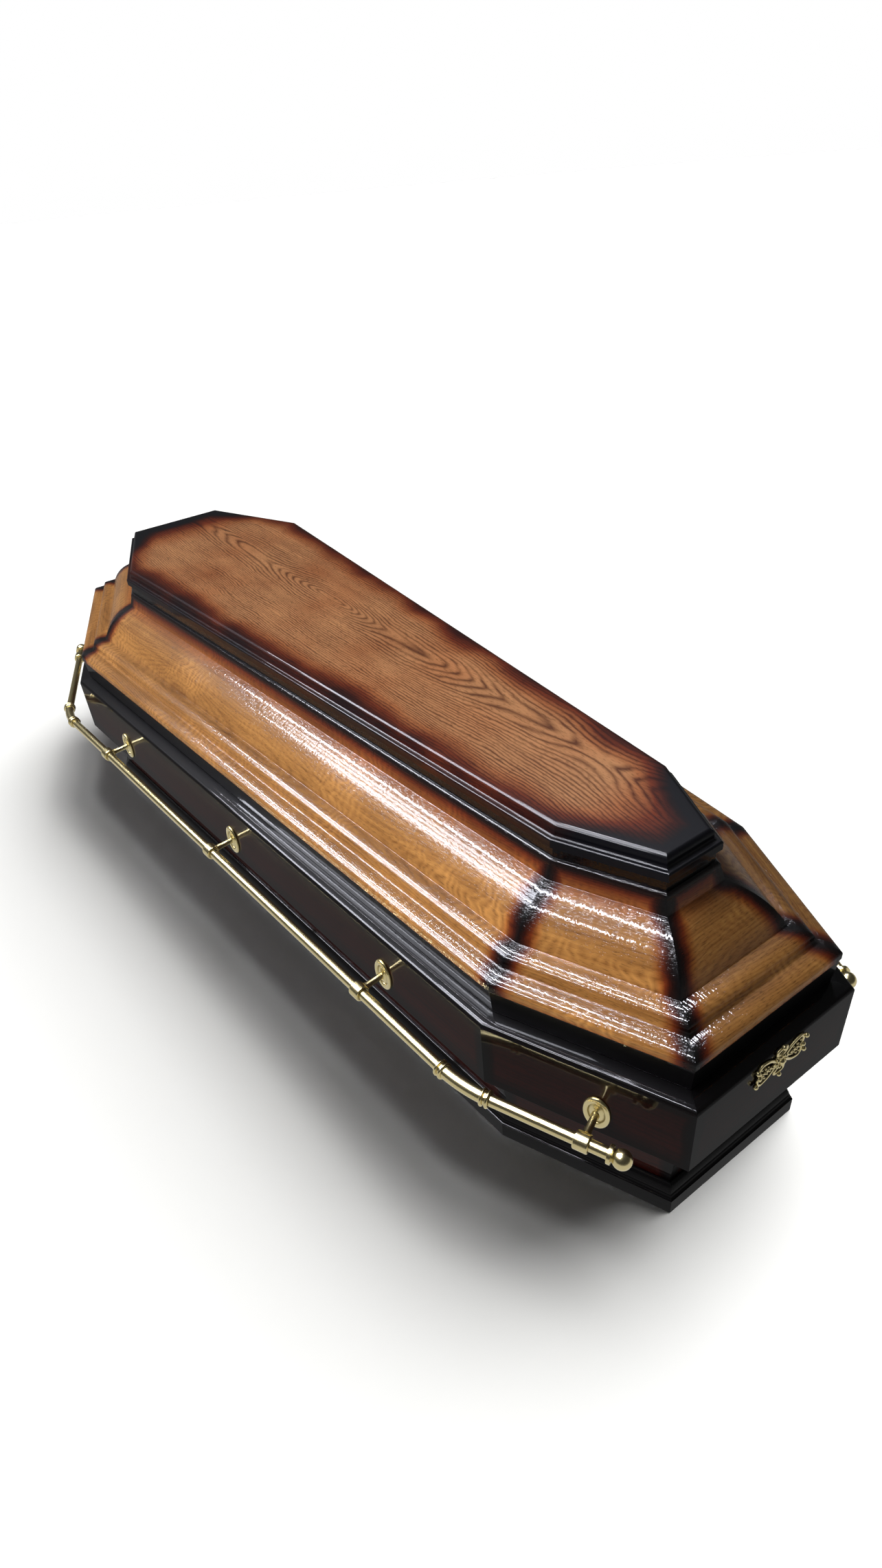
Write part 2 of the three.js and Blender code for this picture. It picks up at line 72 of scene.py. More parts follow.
# Levels and widths in mm that the frame gives
LID_FOOT_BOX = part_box("lid_board_foot_end")
TOP_BOARD_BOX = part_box("lid_top_board")
RAIL_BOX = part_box("rail_tube_left_side")
PLAQUE_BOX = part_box("foot_end_plaque")
RIM_MIDDLE_X = (LID_FOOT_BOX[1].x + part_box("lid_board_head_end")[0].x) / 2 / MM
CASE_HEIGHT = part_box("case_board_foot_end")[1].z / MM
FLOOR_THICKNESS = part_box("case_floor")[1].z / MM
LID_RIM_Z = LID_FOOT_BOX[0].z / MM
TOP_BOARD_Z = TOP_BOARD_BOX[0].z / MM
TOP_BOARD_THICKNESS = TOP_BOARD_BOX[1].z / MM - TOP_BOARD_Z
PLINTH_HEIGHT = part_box("plinth_foot_end")[1].z / MM
RAIL_Z = (RAIL_BOX[0].z + RAIL_BOX[1].z) / 2 / MM
PLAQUE_Z = (PLAQUE_BOX[0].z + PLAQUE_BOX[1].z) / 2 / MM
PLAQUE_WIDTH = (PLAQUE_BOX[1].y - PLAQUE_BOX[0].y) / MM
PLAQUE_HEIGHT = (PLAQUE_BOX[1].z - PLAQUE_BOX[0].z) / MM
PLAQUE_DEPTH = (PLAQUE_BOX[1].x - PLAQUE_BOX[0].x) / MM

# Lid boards in mm, from the foot up. A pair is a width and a height.
FASCIA_HEIGHT = 10
LOWER_ROLL = (25, 10)
COVE = (6, 9)
UPPER_ROLL = (20, 10)
QUIRK_WIDTH = 9
DOME = (70, 58)
DOME_BULGE = 10.5
NECK = (6, 20)
NECK_BEAD = (7, 9)
BLACK_NECK_HEIGHT = 20
LID_NECK_THICKNESS = 22
LID_INNER_BEND = 35
LID_FOOT_THICKNESS = 45

# Mouldings under the lid boards, in mm
LID_BASE_SETBACK = 1
LID_BASE_LEAN = 4
LID_BASE_THICKNESS = 20

# Top board's edge in mm, from the foot up
TOP_BOARD_INSET = 137
TOP_LOWER_STEP = 10
TOP_LOWER_ARRIS = 3
TOP_STEP_WIDTH = 3
TOP_COVE = 4
TOP_UPPER_ARRIS = 8
TOP_FACE_INSET = TOP_BOARD_INSET + TOP_LOWER_ARRIS + TOP_STEP_WIDTH + TOP_COVE + TOP_UPPER_ARRIS
# Rings that carry the spraying over the face: how far each lies in from its edge
TOP_FACE_RINGS = (2, 5, 15, 30, 49)

# Case boards and plinth, in mm
RIM_LEDGE = 21
RIM_FALL = 3
RIM_ARRIS = 7
FRIEZE_HEIGHT = 112
FRIEZE_COVE = 26
PANEL_LEAN = 38
PANEL_OUTSET = 4
CASE_THICKNESS = 26
PLINTH_THICKNESS = 15
PLINTH_FASCIA = 28
PLINTH_COVE = (5, 6)
PLINTH_ROLL_WIDTH = 10

# Gaps in mm: between two pieces, and in a mitre, which paint closes but for a hairline
SEAM = 0.3
HAIRLINE = 0.06

# Spraying: colour of the stain for each share of it, and how dark a board is at each height in mm
SPRAY_COATS = ((0.0, "#FFFFFF"), (0.22, "#E3C6B4"), (0.48, "#9C6149"), (0.72, "#502722"), (1.0, "#2A1A1C"))
LID_SPRAY = ((0, 0.3), (6, 0.0), (88, 0.0), (99, 0.3), (112, 0.5), (119, 0.85), (127, 1.0), (146, 1.0))
# The case darkens to black at its top, and is also darker at its foot and just under the frieze's overhang
CASE_DARKENING = ((0, 0.9), (60, 0.35), (130, 0.3), (165, 0.8), (200, 0.5), (265, 0.6), (CASE_HEIGHT, 1.0))
# Top board in mm: its black margin, and how far from the middle the painted reflection of the dark room at
# its ends starts and is darkest
TOP_BLACK_MARGIN = 4
TOP_PAINTED_REFLECTION_FROM = 650
TOP_PAINTED_REFLECTION_TO = 820

# Timber in mm between the starts of two boards, and the share of it by which the figure moves in depth
LID_GRAIN_STEP = 2300
CASE_GRAIN_STEP = 1900
GRAIN_DEPTH_SHARE = 0.37

# Rail fittings, in mm
RAIL_STANDOFF = 47
RAIL_INSET = -(RIM_LEDGE + RAIL_STANDOFF)
RAIL_RADIUS = 8
ELBOW_REACH = 44
ELBOW_RADIUS = 9.5
COLLAR_RADIUS = 12.5
COLLAR_WIDTH = 5
COLLAR_SPACING = 8
RAIL_END_SETBACK = 74
CAP_LENGTH = 30
CAP_RADIUS = 13
CAP_NECK_RADIUS = 8
CAP_NECK_LENGTH = 1
BRACKET_END_SETBACK = 34
SIDE_BRACKETS = 3
BRACKET_PLATE_WIDTH = 38
BRACKET_PLATE_HEIGHT = 60
BRACKET_PLATE_THICKNESS = 5
BRACKET_ARM_RADIUS = 7
BRACKET_WAIST_RADIUS = 5
BRACKET_RING_WIDTH = 20
BRACKET_RING_WALL = 4
BRACKET_RING_ARRIS = (2, 1.5)
# How far the arm reaches into the ring, and how deep its end in the rose is dished
BRACKET_ARM_BITE = 2
# Radius where a turning meets its own axis
POINT = 0.01

# Plaque, in mm
PEARL = 3.5
PLAQUE_RIB = 4.5
PLAQUE_CORE = 12
PLAQUE_PEARLS = 10
# Shares: a loop's breadth of the half height, the pearl row of the half width, a rib's depth of its width
LOOP_BREADTH = 0.85
PEARL_ROW = 0.8
RIB_SQUASH = 0.8
# Pearls in a side loop: place as a share of its reach, and size as a share of a full pearl
LOOP_PEARLS = ((0.52, 0.45), (0.66, 0.6), (0.8, 0.5))
# Pearls between the side loops: share of the way out, and how far in mm they all lie further out
ROW_PEARLS = (0.3, 0.45, 0.6, 0.75)
ROW_START = 4
# Boss: height over its back in mm, and radius as a share of the core, then its top and its pearls' height
BOSS_STEPS = ((2.2, 1.0), (3.2, 0.78), (2.4, 0.6), (3.6, 0.45))
BOSS_TOP = 3.8
BOSS_PEARL_HEIGHT = 3.4

# Fineness of the turned and bent fittings
TURNING_SIDES = 48
ELBOW_STEPS = 24
CURL_STEPS = 12
LOOP_STEPS = 16

# Height in mm over the hollows at which the patina is wiped off
POLISHED_RELIEF = 6

# Camera: place in metres, its X from the middle of the rim, direction in degrees and frame in mm
CAMERA_PLACE = (1.361, -0.698, 1.220)
CAMERA_AZIMUTH = 57.2
CAMERA_ELEVATION = 35.6
CAMERA_ROLL = 5.1
SENSOR_HEIGHT = 36

# Studio: radii in metres, and the paper's fibres in mm
FIBRE_SIZE = 10 / 3
FLOOR_RADIUS = 40
BACKDROP_RADIUS = 38
FLOOR_SIDES = 64

# Ceiling lights, which the lacquer mirrors: name, middle and size in metres, and share of the power
CEILING = 2.7
CEILING_LIGHTS = (
    ("strip_1", (-1.57, -2.0), (2.25, 0.2), 0.14),
    ("strip_2", (-1.57, -1.63), (2.25, 0.2), 0.14),
    ("strip_3", (-1.57, -1.31), (2.25, 0.2), 0.14),
    ("strip_4", (-1.57, -1.02), (2.25, 0.2), 0.14),
    ("outer_tube", (-1.05, -1.75), (3.9, 0.12), 0.6),
    ("inner_tube", (-1.05, -0.6), (3.9, 0.12), 0.6),
    ("middle_tube", (-0.35, 0.2), (1.3, 0.1), 0.2),
    ("far_tube", (-0.35, 1.3), (1.3, 0.1), 0.2),
)

# Broad soft lights, which the lacquer doesn't mirror: where each comes from, and how wide it looks
PAPER_KEY_FROM = (-0.05, 0.8, 1)
SIDE_KEY_FROM = (-0.85, -0.9, 1)
KEY_ANGLE = math.radians(60)
# Glow of the paper, in metres
PAPER_GLOW_SIZE = 6
PAPER_GLOW_HEIGHT = 0.002


def linear(hex_colour):
    """Linear red, green and blue of an sRGB hex colour."""
    shares = [int(hex_colour[i:i + 2], 16) / 255 for i in (1, 3, 5)]
    return tuple(s / 12.92 if s <= 0.04045 else ((s + 0.055) / 1.055) ** 2.4 for s in shares)


def colour_property(name, hex_colour, description):
    return FloatVectorProperty(
        name=name, description=description, subtype="COLOR", size=3, min=0, max=1,
        default=linear(hex_colour),
    )


class CoffinWoodwork(bpy.types.PropertyGroup):
    """Sizes of the joinery that the frame leaves open."""

    arris: FloatProperty(
        name="Arris", description="Radius that sanding and lacquer leave on an edge",
        unit="LENGTH", min=0, max=0.004, default=0.0012,
    )
    curve_steps: IntProperty(
        name="Curve Steps", description="Facets of a moulding's quarter round", min=4, max=48, default=18
    )
    grain_pitch: FloatProperty(
        name="Grain Pitch", description="Distance between two growth rings of the flat-sawn boards",
        unit="LENGTH", min=0.001, max=0.05, default=0.0046,
    )
    mitre_shade: FloatProperty(
        name="Mitre Shade", description="Width of the dark spraying along a mitre",
        unit="LENGTH", min=0.001, max=0.2, default=0.036,
    )
    border_shade: FloatProperty(
        name="Border Shade", description="Width of the dark spraying round the top board",
        unit="LENGTH", min=0.001, max=0.3, default=0.07,
    )


class CoffinColours(bpy.types.PropertyGroup):
    """Colours of the timbers, stains, paints and fittings."""

    side_pale: colour_property("Side Pale", "#B58044", "Pale figure of the lid's boards")
    side_deep: colour_property("Side Deep", "#6C421C", "Deep figure of the lid's boards")
    top_pale: colour_property("Top Pale", "#C38B5D", "Pale figure of the top board")
    top_deep: colour_property("Top Deep", "#643A22", "Deep figure of the top board")
    case_pale: colour_property("Case Pale", "#4A1D12", "Pale figure of the stained case")
    case_deep: colour_property("Case Deep", "#230B08", "Deep figure of the stained case")
    # Border: the last coat of the real spraying round the top board, and also the blue-black of the painted
    # reflection of the dark room at both of its ends
    border: colour_property("Border", "#09090F", "Last coat of the spraying round the top board")
    black: colour_property("Black", "#060506", "Last coat of the dark spraying, and the black mouldings")
    gilt: colour_property("Gilt", "#D6C794", "Polished faces of the fittings")
    tarnish: colour_property("Tarnish", "#6A5E38", "Hollows of the fittings")


class CoffinStudio(bpy.types.PropertyGroup):
    """Floor, lights and camera."""

    floor: colour_property("Floor", "#EFEFED", "Pale paper of the floor")
    focal_length: FloatProperty(
        name="Focal Length", description="Lens length in mm for a 36 mm high frame", min=5, max=200,
        default=20.51,
    )
    ceiling_power: FloatProperty(
        name="Ceiling Power", description="Power of a ceiling light with a share of 1",
        subtype="POWER", min=0, default=200,
    )
    paper_key: FloatProperty(
        name="Paper Key", description="Strength of the broad light on the floor", min=0, max=20, default=5.5
    )
    side_key: FloatProperty(
        name="Side Key", description="Strength of the broad light on the coffin", min=0, max=20, default=4.9
    )
    tube_colour: colour_property("Tube Colour", "#F2F4FF", "Cool white of the ceiling lights")
    paper_glow: FloatProperty(
        name="Paper Glow", description="Power of the floor's light on the gilt metal",
        subtype="POWER", min=0, default=60,
    )
    sky_power: FloatProperty(
        name="Sky Power", description="Brightness of the dim room that the lacquer mirrors",
        min=0, max=10, default=0.14,
    )


def finish_of(context):
    return context.scene.coffin_woodwork, context.scene.coffin_colours


def linked(name, data):
    """New object in the scene."""
    obj = bpy.data.objects.new(name, data)
    bpy.context.scene.collection.objects.link(obj)
    return obj


# Plan and sections


class Side:
    """One straight side of the plan, in mm: where it starts and how far its mitres draw in."""

    def __init__(self, name, start, end):
        self.name = name
        self.start = Vector(start)
        self.length = (Vector(end) - self.start).length
        self.along = (Vector(end) - self.start) / self.length
        self.inward = Vector((-self.along.y, self.along.x))
        self.start_slope = 0.0
        self.end_slope = 0.0

    def matrix(self):
        """From inset, height and place along the side, in mm, to metres in the frame."""
        return Matrix.Scale(MM, 4) @ Matrix((
            (self.inward.x, 0, self.along.x, self.start.x),
            (self.inward.y, 0, self.along.y, self.start.y),
            (0, 1, 0, 0),
            (0, 0, 0, 1),
        ))


def plan():
    """The eight sides, anticlockwise from above."""
    half = LID_LENGTH / 2
    corners = [
        (half, -FOOT_END_WIDTH / 2), (half, FOOT_END_WIDTH / 2),
        (half - FOOT_CORNER_RUN, FOOT_WIDTH / 2), (-half + HEAD_CORNER_RUN, HEAD_WIDTH / 2),
        (-half, HEAD_END_WIDTH / 2), (-half, -HEAD_END_WIDTH / 2),
        (-half + HEAD_CORNER_RUN, -HEAD_WIDTH / 2), (half - FOOT_CORNER_RUN, -FOOT_WIDTH / 2),
    ]
    corners = [(x + RIM_MIDDLE_X, y) for x, y in corners]
    sides = [Side(n, corners[i], corners[(i + 1) % 8]) for i, n in enumerate(SIDE_NAMES)]
    for side, after in zip(sides, sides[1:] + sides[:1]):
        slope = math.tan(side.along.angle(after.along) / 2)
        side.end_slope = slope
        after.start_slope = slope
    return sides


SIDES = plan()


def side_named(name):
    return SIDES[SIDE_NAMES.index(name)]


class Section:
    """Outline in mm, drawn clockwise: inset and height of a moulding, or place and radius of a turning."""

    def __init__(self, inset, height, steps, closed=True):
        self.points = [(inset, height)]
        self.steps = steps
        self.closed = closed

    def line(self, run, rise):
        x, y = self.points[-1]
        return self.line_to(x + run, y + rise)

    def line_to(self, inset, height):
        self.points.append((inset, height))
        return self

    def arc(self, centre, run, rise, start, end):
        for i in range(1, self.steps + 1):
            angle = start + (end - start) * i / self.steps
            self.points.append((centre[0] + run * math.cos(angle), centre[1] + rise * math.sin(angle)))
        return self

    def roll(self, run, rise):
        """Round nose that leaves upright and ends level."""
        x, y = self.points[-1]
        return self.arc((x + run, y), run, rise, math.pi, math.pi / 2)

    def cove(self, run, rise):
        """Hollow that leaves level and ends upright."""
        x, y = self.points[-1]
        return self.arc((x, y + rise), run, rise, -math.pi / 2, 0)

    def overhang(self, run, rise):
        """Hollow under an overhang, which leaves upright and ends level further out."""
        x, y = self.points[-1]
        return self.arc((x - run, y), run, rise, 0, math.pi / 2)

    def swell(self, run, rise, bulge):
        """Shallow swelling that stands off its chord by the bulge."""
        x, y = self.points[-1]
        chord = math.hypot(run, rise)
        radius = (chord * chord / 4 + bulge * bulge) / (2 * bulge)
        half = math.asin(chord / 2 / radius)
        slope = math.atan2(rise, run)
        centre = (
            x + run / 2 + (radius - bulge) * math.sin(slope),
            y + rise / 2 - (radius - bulge) * math.cos(slope),
        )
        middle = slope + math.pi / 2
        return self.arc(centre, radius, radius, middle + half, middle - half)

    def softened(self, radius, corner_angle=math.radians(20), arris_steps=4, most=0.45):
        """Points of the outline with its corners rounded, and the normal at each. A rounding takes at most
        that share of the shorter line beside it."""
        raw = np.array(self.points, float)
        count = len(raw)
        rounded = []
        for i in range(count):
            before = raw[i] - raw[i - 1]
            after = raw[(i + 1) % count] - raw[i]
            reach = min(np.linalg.norm(before), np.linalg.norm(after))
            before = before / np.linalg.norm(before)
            after = after / np.linalg.norm(after)
            turn = math.acos(np.clip(before @ after, -1, 1))
            at_end = not self.closed and i in (0, count - 1)
            if turn < corner_angle or at_end:
                rounded.append(raw[i])
                continue
            cut = min(radius * math.tan(turn / 2), reach * most)
            start = raw[i] - before * cut
            end = raw[i] + after * cut
            for step in range(arris_steps + 1):
                t = step / arris_steps
                rounded.append((1 - t) ** 2 * start + 2 * t * (1 - t) * raw[i] + t * t * end)
        points = np.array(rounded)
        steps = np.roll(points, -1, axis=0) - points
        if not self.closed:
            steps[-1] = 0
        normals = np.column_stack((-steps[:, 1], steps[:, 0]))
        blended = normals + np.roll(normals, 1, axis=0)
        return points, blended / np.linalg.norm(blended, axis=1)[:, None]


def panel_inset(height):
    return PANEL_LEAN * (1 - height / CASE_HEIGHT) - PANEL_OUTSET


def lid_board_section(steps):
    return (
        Section(0, 0, steps)
        .line(0, FASCIA_HEIGHT)
        .roll(*LOWER_ROLL)
        .cove(*COVE)
        .roll(*UPPER_ROLL)
        .line(QUIRK_WIDTH, 0)
        .swell(*DOME, DOME_BULGE)
        .line(*NECK)
        .roll(*NECK_BEAD)
        .line(0, BLACK_NECK_HEIGHT)
        .line(LID_NECK_THICKNESS, 0)
        .line(0, -LID_INNER_BEND)
        .line_to(LID_FOOT_THICKNESS, 0)
    )


def lid_base_section(steps):
    rise = LID_RIM_Z - CASE_HEIGHT
    return (
        Section(LID_BASE_SETBACK + LID_BASE_LEAN, CASE_HEIGHT, steps)
        .line(-LID_BASE_LEAN, rise)
        .line(LID_BASE_LEAN + LID_BASE_THICKNESS, 0)
        .line(0, -rise)
    )


def top_board_section(steps):
    return (
        Section(TOP_BOARD_INSET, TOP_BOARD_Z, steps, closed=False)
        .line(0, TOP_LOWER_STEP)
        .roll(TOP_LOWER_ARRIS, TOP_LOWER_ARRIS)
        .line(TOP_STEP_WIDTH, 0)
        .cove(TOP_COVE, TOP_COVE)
        .line(0, TOP_BOARD_THICKNESS - TOP_LOWER_STEP - TOP_LOWER_ARRIS - TOP_COVE - TOP_UPPER_ARRIS)
        .roll(TOP_UPPER_ARRIS, TOP_UPPER_ARRIS)
    )


def case_board_section(steps):
    frieze_top = CASE_HEIGHT - RIM_FALL - RIM_ARRIS
    cove_foot = frieze_top - FRIEZE_HEIGHT - FRIEZE_COVE
    return (
        Section(panel_inset(FLOOR_THICKNESS), FLOOR_THICKNESS, steps)
        .line_to(panel_inset(cove_foot), cove_foot)
        .overhang(panel_inset(cove_foot) + RIM_LEDGE, FRIEZE_COVE)
        .line_to(-RIM_LEDGE, frieze_top)
        .roll(RIM_ARRIS, RIM_ARRIS)
        .line_to(0, CASE_HEIGHT)
        .line_to(panel_inset(CASE_HEIGHT) + CASE_THICKNESS, CASE_HEIGHT)
        .line_to(panel_inset(FLOOR_THICKNESS) + CASE_THICKNESS, FLOOR_THICKNESS)
    )


def plinth_section(steps):
    return (
        Section(panel_inset(PLINTH_HEIGHT) - SEAM - PLINTH_THICKNESS, 0, steps)
        .line(0, PLINTH_FASCIA)
        .cove(*PLINTH_COVE)
        .roll(PLINTH_ROLL_WIDTH, PLINTH_HEIGHT - PLINTH_FASCIA - PLINTH_COVE[1])
        .line_to(panel_inset(FLOOR_THICKNESS) - SEAM, FLOOR_THICKNESS)
        .line(0, -FLOOR_THICKNESS)
    )


# Surfaces


class Shell:
    """Surface under construction: its places in metres, its faces, and the normal at each face's corners."""

    def __init__(self):
        self.vertices = []
        self.faces = []
        self.normals = []
        self.grain = []
        self.shade = []

    def add(self, vertices, faces, normals, matrix, grain=None, shade=None):
        """Joins on a piece given in its own mm, with the matrix that takes it to metres in the frame.
        Without a shade of its own, each point takes its height over the piece's base."""
        first = len(self.vertices)
        placed = [matrix @ Vector(v) for v in vertices]
        self.vertices += placed
        self.faces += [tuple(first + i for i in face) for face in faces]
        turn = matrix.to_3x3().inverted().transposed()
        self.normals += [(turn @ Vector(n)).normalized() for n in normals]
        self.grain += list(grain) if grain is not None else [v / MM for v in placed]
        self.shade += list(shade) if shade is not None else [(v[2], 0, 0) for v in vertices]
        return self

    def dress(self, name, node, material, slot):
        """Makes the object, and puts it on the coffin in place of its CAD node."""
        mesh = bpy.data.meshes.new(name)
        mesh.from_pydata([tuple(v) for v in self.vertices], [], self.faces)
        for key, values in (("grain_mm", self.grain), ("shade_mm", self.shade)):
            layer = mesh.attributes.new(key, "FLOAT_VECTOR", "POINT")
            layer.data.foreach_set("vector", np.array([tuple(v) for v in values], np.float32).ravel())
        mesh.shade_smooth()
        mesh.normals_split_custom_set([tuple(n) for n in self.normals])
        mesh.materials.append(material)
        obj = linked(name, mesh)
        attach(obj, BODY)
        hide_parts(node)


def mitred_board(section, side, base, arris, grain_shift):
    """Board run to a section along one side of the plan, standing on a base height, mitred at both ends."""
    outline, outward = section.softened(arris)
    count = len(outline)
    steps = np.linalg.norm(np.diff(outline, axis=0), axis=1)
    girth = np.concatenate(((0,), np.cumsum(steps)))
    vertices = []
    grain = []
    shade = []
    for (inset, height), across in zip(outline, girth):
        start = inset * side.start_slope + HAIRLINE / 2
        end = side.length - inset * side.end_slope - HAIRLINE / 2
        for place in (start, end):
            vertices.append((inset, height + base, place))
            grain.append((place + grain_shift, across, grain_shift))
            shade.append((place - start, end - place, height))
    faces = []
    normals = []
    for i in range(count):
        j = (i + 1) % count
        faces.append((2 * i, 2 * i + 1, 2 * j + 1, 2 * j))
        here = (outward[i][0], outward[i][1], 0)
        there = (outward[j][0], outward[j][1], 0)
        normals += [here, here, there, there]
    faces.append(tuple(range(0, 2 * count, 2)))
    normals += [(side.start_slope, 0, -1)] * count
    faces.append(tuple(range(2 * count - 1, 0, -2)))
    normals += [(side.end_slope, 0, 1)] * count
    return Shell().add(vertices, faces, normals, side.matrix(), grain, shade)


def plan_board(section, arris, inner_insets=()):
    """Board whose outline follows the plan, drawn in to the section from its foot to its top."""
    outline, outward = section.softened(arris)
    top = outline[-1][1]
    rings = [(p[0], p[1], n[0], n[1]) for p, n in zip(outline, outward)]
    rings += [(inset, top, 0, 1) for inset in inner_insets]
    count = len(SIDES)
    vertices = []
    shade = []
    for inset, height, _, _ in rings:
        for side in SIDES:
            corner = side.matrix() @ Vector((inset, height, inset * side.start_slope))
            vertices.append(corner / MM)
            shade.append((inset, inset, height))
    faces = []
    normals = []
    for lower, upper in zip(range(len(rings)), range(1, len(rings))):
        for i, side in enumerate(SIDES):
            j = (i + 1) % count
            faces.append((lower * count + i, lower * count + j, upper * count + j, upper * count + i))
            low, high = (
                side.inward.to_3d() * rings[r][2] + Vector((0, 0, rings[r][3])) for r in (lower, upper)
            )
            normals += [low, low, high, high]
    faces.append(tuple(reversed(range(count))))
    normals += [(0, 0, -1)] * count
    faces.append(tuple(range((len(rings) - 1) * count, len(rings) * count)))
    normals += [(0, 0, 1)] * count
    return Shell().add(vertices, faces, normals, Matrix.Scale(MM, 4), shade=shade)


def skin(across, sides, looped, ends):
    """Faces over a row of rings, and the normals at their corners. Ends are the normals of the two caps."""
    count = len(across) // sides
    faces = []
    for ring in range(count if looped else count - 1):
        a = ring * sides
        b = (ring + 1) % count * sides
        faces += [(a + i, a + (i + 1) % sides, b + (i + 1) % sides, b + i) for i in range(sides)]
    normals = [across[corner] for face in faces for corner in face]
    if not looped:
        faces += [tuple(reversed(range(sides))), tuple(range((count - 1) * sides, count * sides))]
        normals += [ends[0]] * sides + [ends[1]] * sides
    return faces, normals


def turning(section, soften=0.5, sides=TURNING_SIDES):
    """Vertices, faces and normals of a section of place and radius turned round the local Z axis."""
    outline, outward = section.softened(soften)
    vertices = []
    across = []
    for (place, radius), (drift, rise) in zip(outline, outward):
        for i in range(sides):
            angle = 2 * math.pi * i / sides
            vertices.append((radius * math.cos(angle), radius * math.sin(angle), place))
            across.append((rise * math.cos(angle), rise * math.sin(angle), drift))
    faces, normals = skin(across, sides, section.closed, ((0, 0, -1), (0, 0, 1)))
    return vertices, faces, normals


def swept_bar(path, radius, sides, looped=False, squash=1.0):
    """Round bar along a path in mm, closed on itself or capped. Squash flattens it along local Z."""
    points = [Vector(p) for p in path]
    last = len(points) - 1
    vertices = []
    across = []
    upward = Vector((0, 0, 1)) if looped else (points[1] - points[0]).orthogonal()
    for i, point in enumerate(points):
        ahead = points[(i + 1) % len(points)] if looped or i < last else point
        behind = points[i - 1] if looped or i > 0 else point
        tangent = (ahead - behind).normalized()
        upward = (upward - tangent * upward.dot(tangent)).normalized()
        other = tangent.cross(upward)
        for k in range(sides):
            angle = 2 * math.pi * k / sides
            normal = upward * math.cos(angle) + other * math.sin(angle)
            spot = point + normal * radius
            spot.z = point.z + (spot.z - point.z) * squash
            vertices.append(spot)
            across.append(Vector((normal.x, normal.y, normal.z / squash)))
    faces, normals = skin(across, sides, looped, (points[0] - points[1], points[-1] - points[-2]))
    return vertices, faces, normals


def ball(centre, radius, sides=16):
    """Pearl of the ornament."""
    # It stops just short of the axis at both poles
    profile = Section(-radius, radius * 0.02, sides // 2, closed=False)
    profile.arc((0, 0), radius, radius, math.pi * 0.98, math.pi * 0.02)
    vertices, faces, normals = turning(profile, sides=sides)
    return [Vector(v) + Vector(centre) for v in vertices], faces, normals


# Materials


def add_node(tree, kind, inputs=None, **settings):
    """Adds a shader node with its settings. An input takes a value, a socket, or a node's first output."""
    node = tree.nodes.new("ShaderNode" + kind)
    for key, value in settings.items():
        setattr(node, key, value)
    for key, value in (inputs or {}).items():
        if isinstance(value, bpy.types.Node):
            value = value.outputs[0]
        if isinstance(value, bpy.types.NodeSocket):
            tree.links.new(value, node.inputs[key])
        else:
            node.inputs[key].default_value = value
    return node


def new_material(name):
    material = bpy.data.materials.new(name)
    material.use_nodes = True
    material.node_tree.nodes.clear()
    return material, material.node_tree


def fill_ramp(node, stops):
    """Sets a colour ramp's stops, given as place and linear colour or grey."""
    ramp = node.color_ramp
    while len(ramp.elements) < len(stops):
        ramp.elements.new(0.5)
    for element, (place, value) in zip(ramp.elements, stops):
        element.position = place
        element.color = (*value, 1) if isinstance(value, tuple) else (value, value, value, 1)


def soft_spots(tree, size, detail=1.0, roughness=0.5):
    """Soft spots of a size in mm, from 0 to 1, which run on from piece to piece."""
    place = add_node(tree, "TexCoord").outputs["Object"]
    noise = {"Vector": place, "Scale": 1 / (size * MM), "Detail": detail, "Roughness": roughness}
    return add_node(tree, "TexNoise", noise)


def grain_figure(tree, grain, length, width, detail=2.0):
    """Soft spots of a size in mm, drawn out along the grain, from 0 to 1."""
    scale = (1 / length, 1 / width, GRAIN_DEPTH_SHARE)
    scaled = add_node(tree, "VectorMath", {0: grain, 1: scale}, operation="MULTIPLY")
    return add_node(tree, "TexNoise", {"Vector": scaled, "Scale": 1.0, "Detail": detail, "Roughness": 0.5})


def growth_rings(tree, grain, pitch, heart_depth, heart_drift, centre, sway):
    """Growth rings on a flat-sawn face: rings round a heart that wanders under the board along its length."""
    across = add_node(tree, "SeparateXYZ", {0: grain}).outputs[1]
    # The heart comes near and goes away over some 560 mm, which draws the arches
    approach = {"Value": grain_figure(tree, grain, 560, 1600, 1.0), "From Min": 0.3, "From Max": 0.7}
    depths = {"To Min": heart_depth, "To Max": heart_depth + heart_drift}
    depth = add_node(tree, "MapRange", {**approach, **depths}, clamp=False)
    offset = add_node(tree, "Math", {0: across, 1: centre}, operation="SUBTRACT")
    bends = grain_figure(tree, grain, 150, 45)
    slow = add_node(tree, "Math", {0: bends, 1: sway, 2: offset}, operation="MULTIPLY_ADD")
    jags = grain_figure(tree, grain, 16, 7)
    ragged = add_node(tree, "Math", {0: jags, 1: pitch * 0.7, 2: slow}, operation="MULTIPLY_ADD")
    arm = add_node(tree, "CombineXYZ", {0: ragged, 1: depth})
    distance = add_node(tree, "VectorMath", {0: arm}, operation="LENGTH").outputs["Value"]
    # Lean and fat years: over some 40 mm the count runs up to 3 rings ahead
    years = add_node(tree, "Math", {0: grain_figure(tree, grain, 900, 40), 1: 3.0}, operation="MULTIPLY")
    count = add_node(tree, "Math", {0: distance, 1: 1 / pitch, 2: years}, operation="MULTIPLY_ADD")
    share = add_node(tree, "Math", {0: count}, operation="FRACT")
    # Early wood stays pale, late wood darkens to a line
    line = add_node(tree, "ValToRGB", {0: share})
    fill_ramp(line, ((0.0, 0.5), (0.18, 0.1), (0.5, 0.08), (0.82, 1.0), (1.0, 0.5)))
    # Some lines fade by half
    fading = {"Value": grain_figure(tree, grain, 90, 14), "From Min": 0.3, "From Max": 0.6, "To Min": 0.5}
    faded = add_node(tree, "MapRange", fading)
    return add_node(tree, "Math", {0: line, 1: faded}, operation="MULTIPLY")


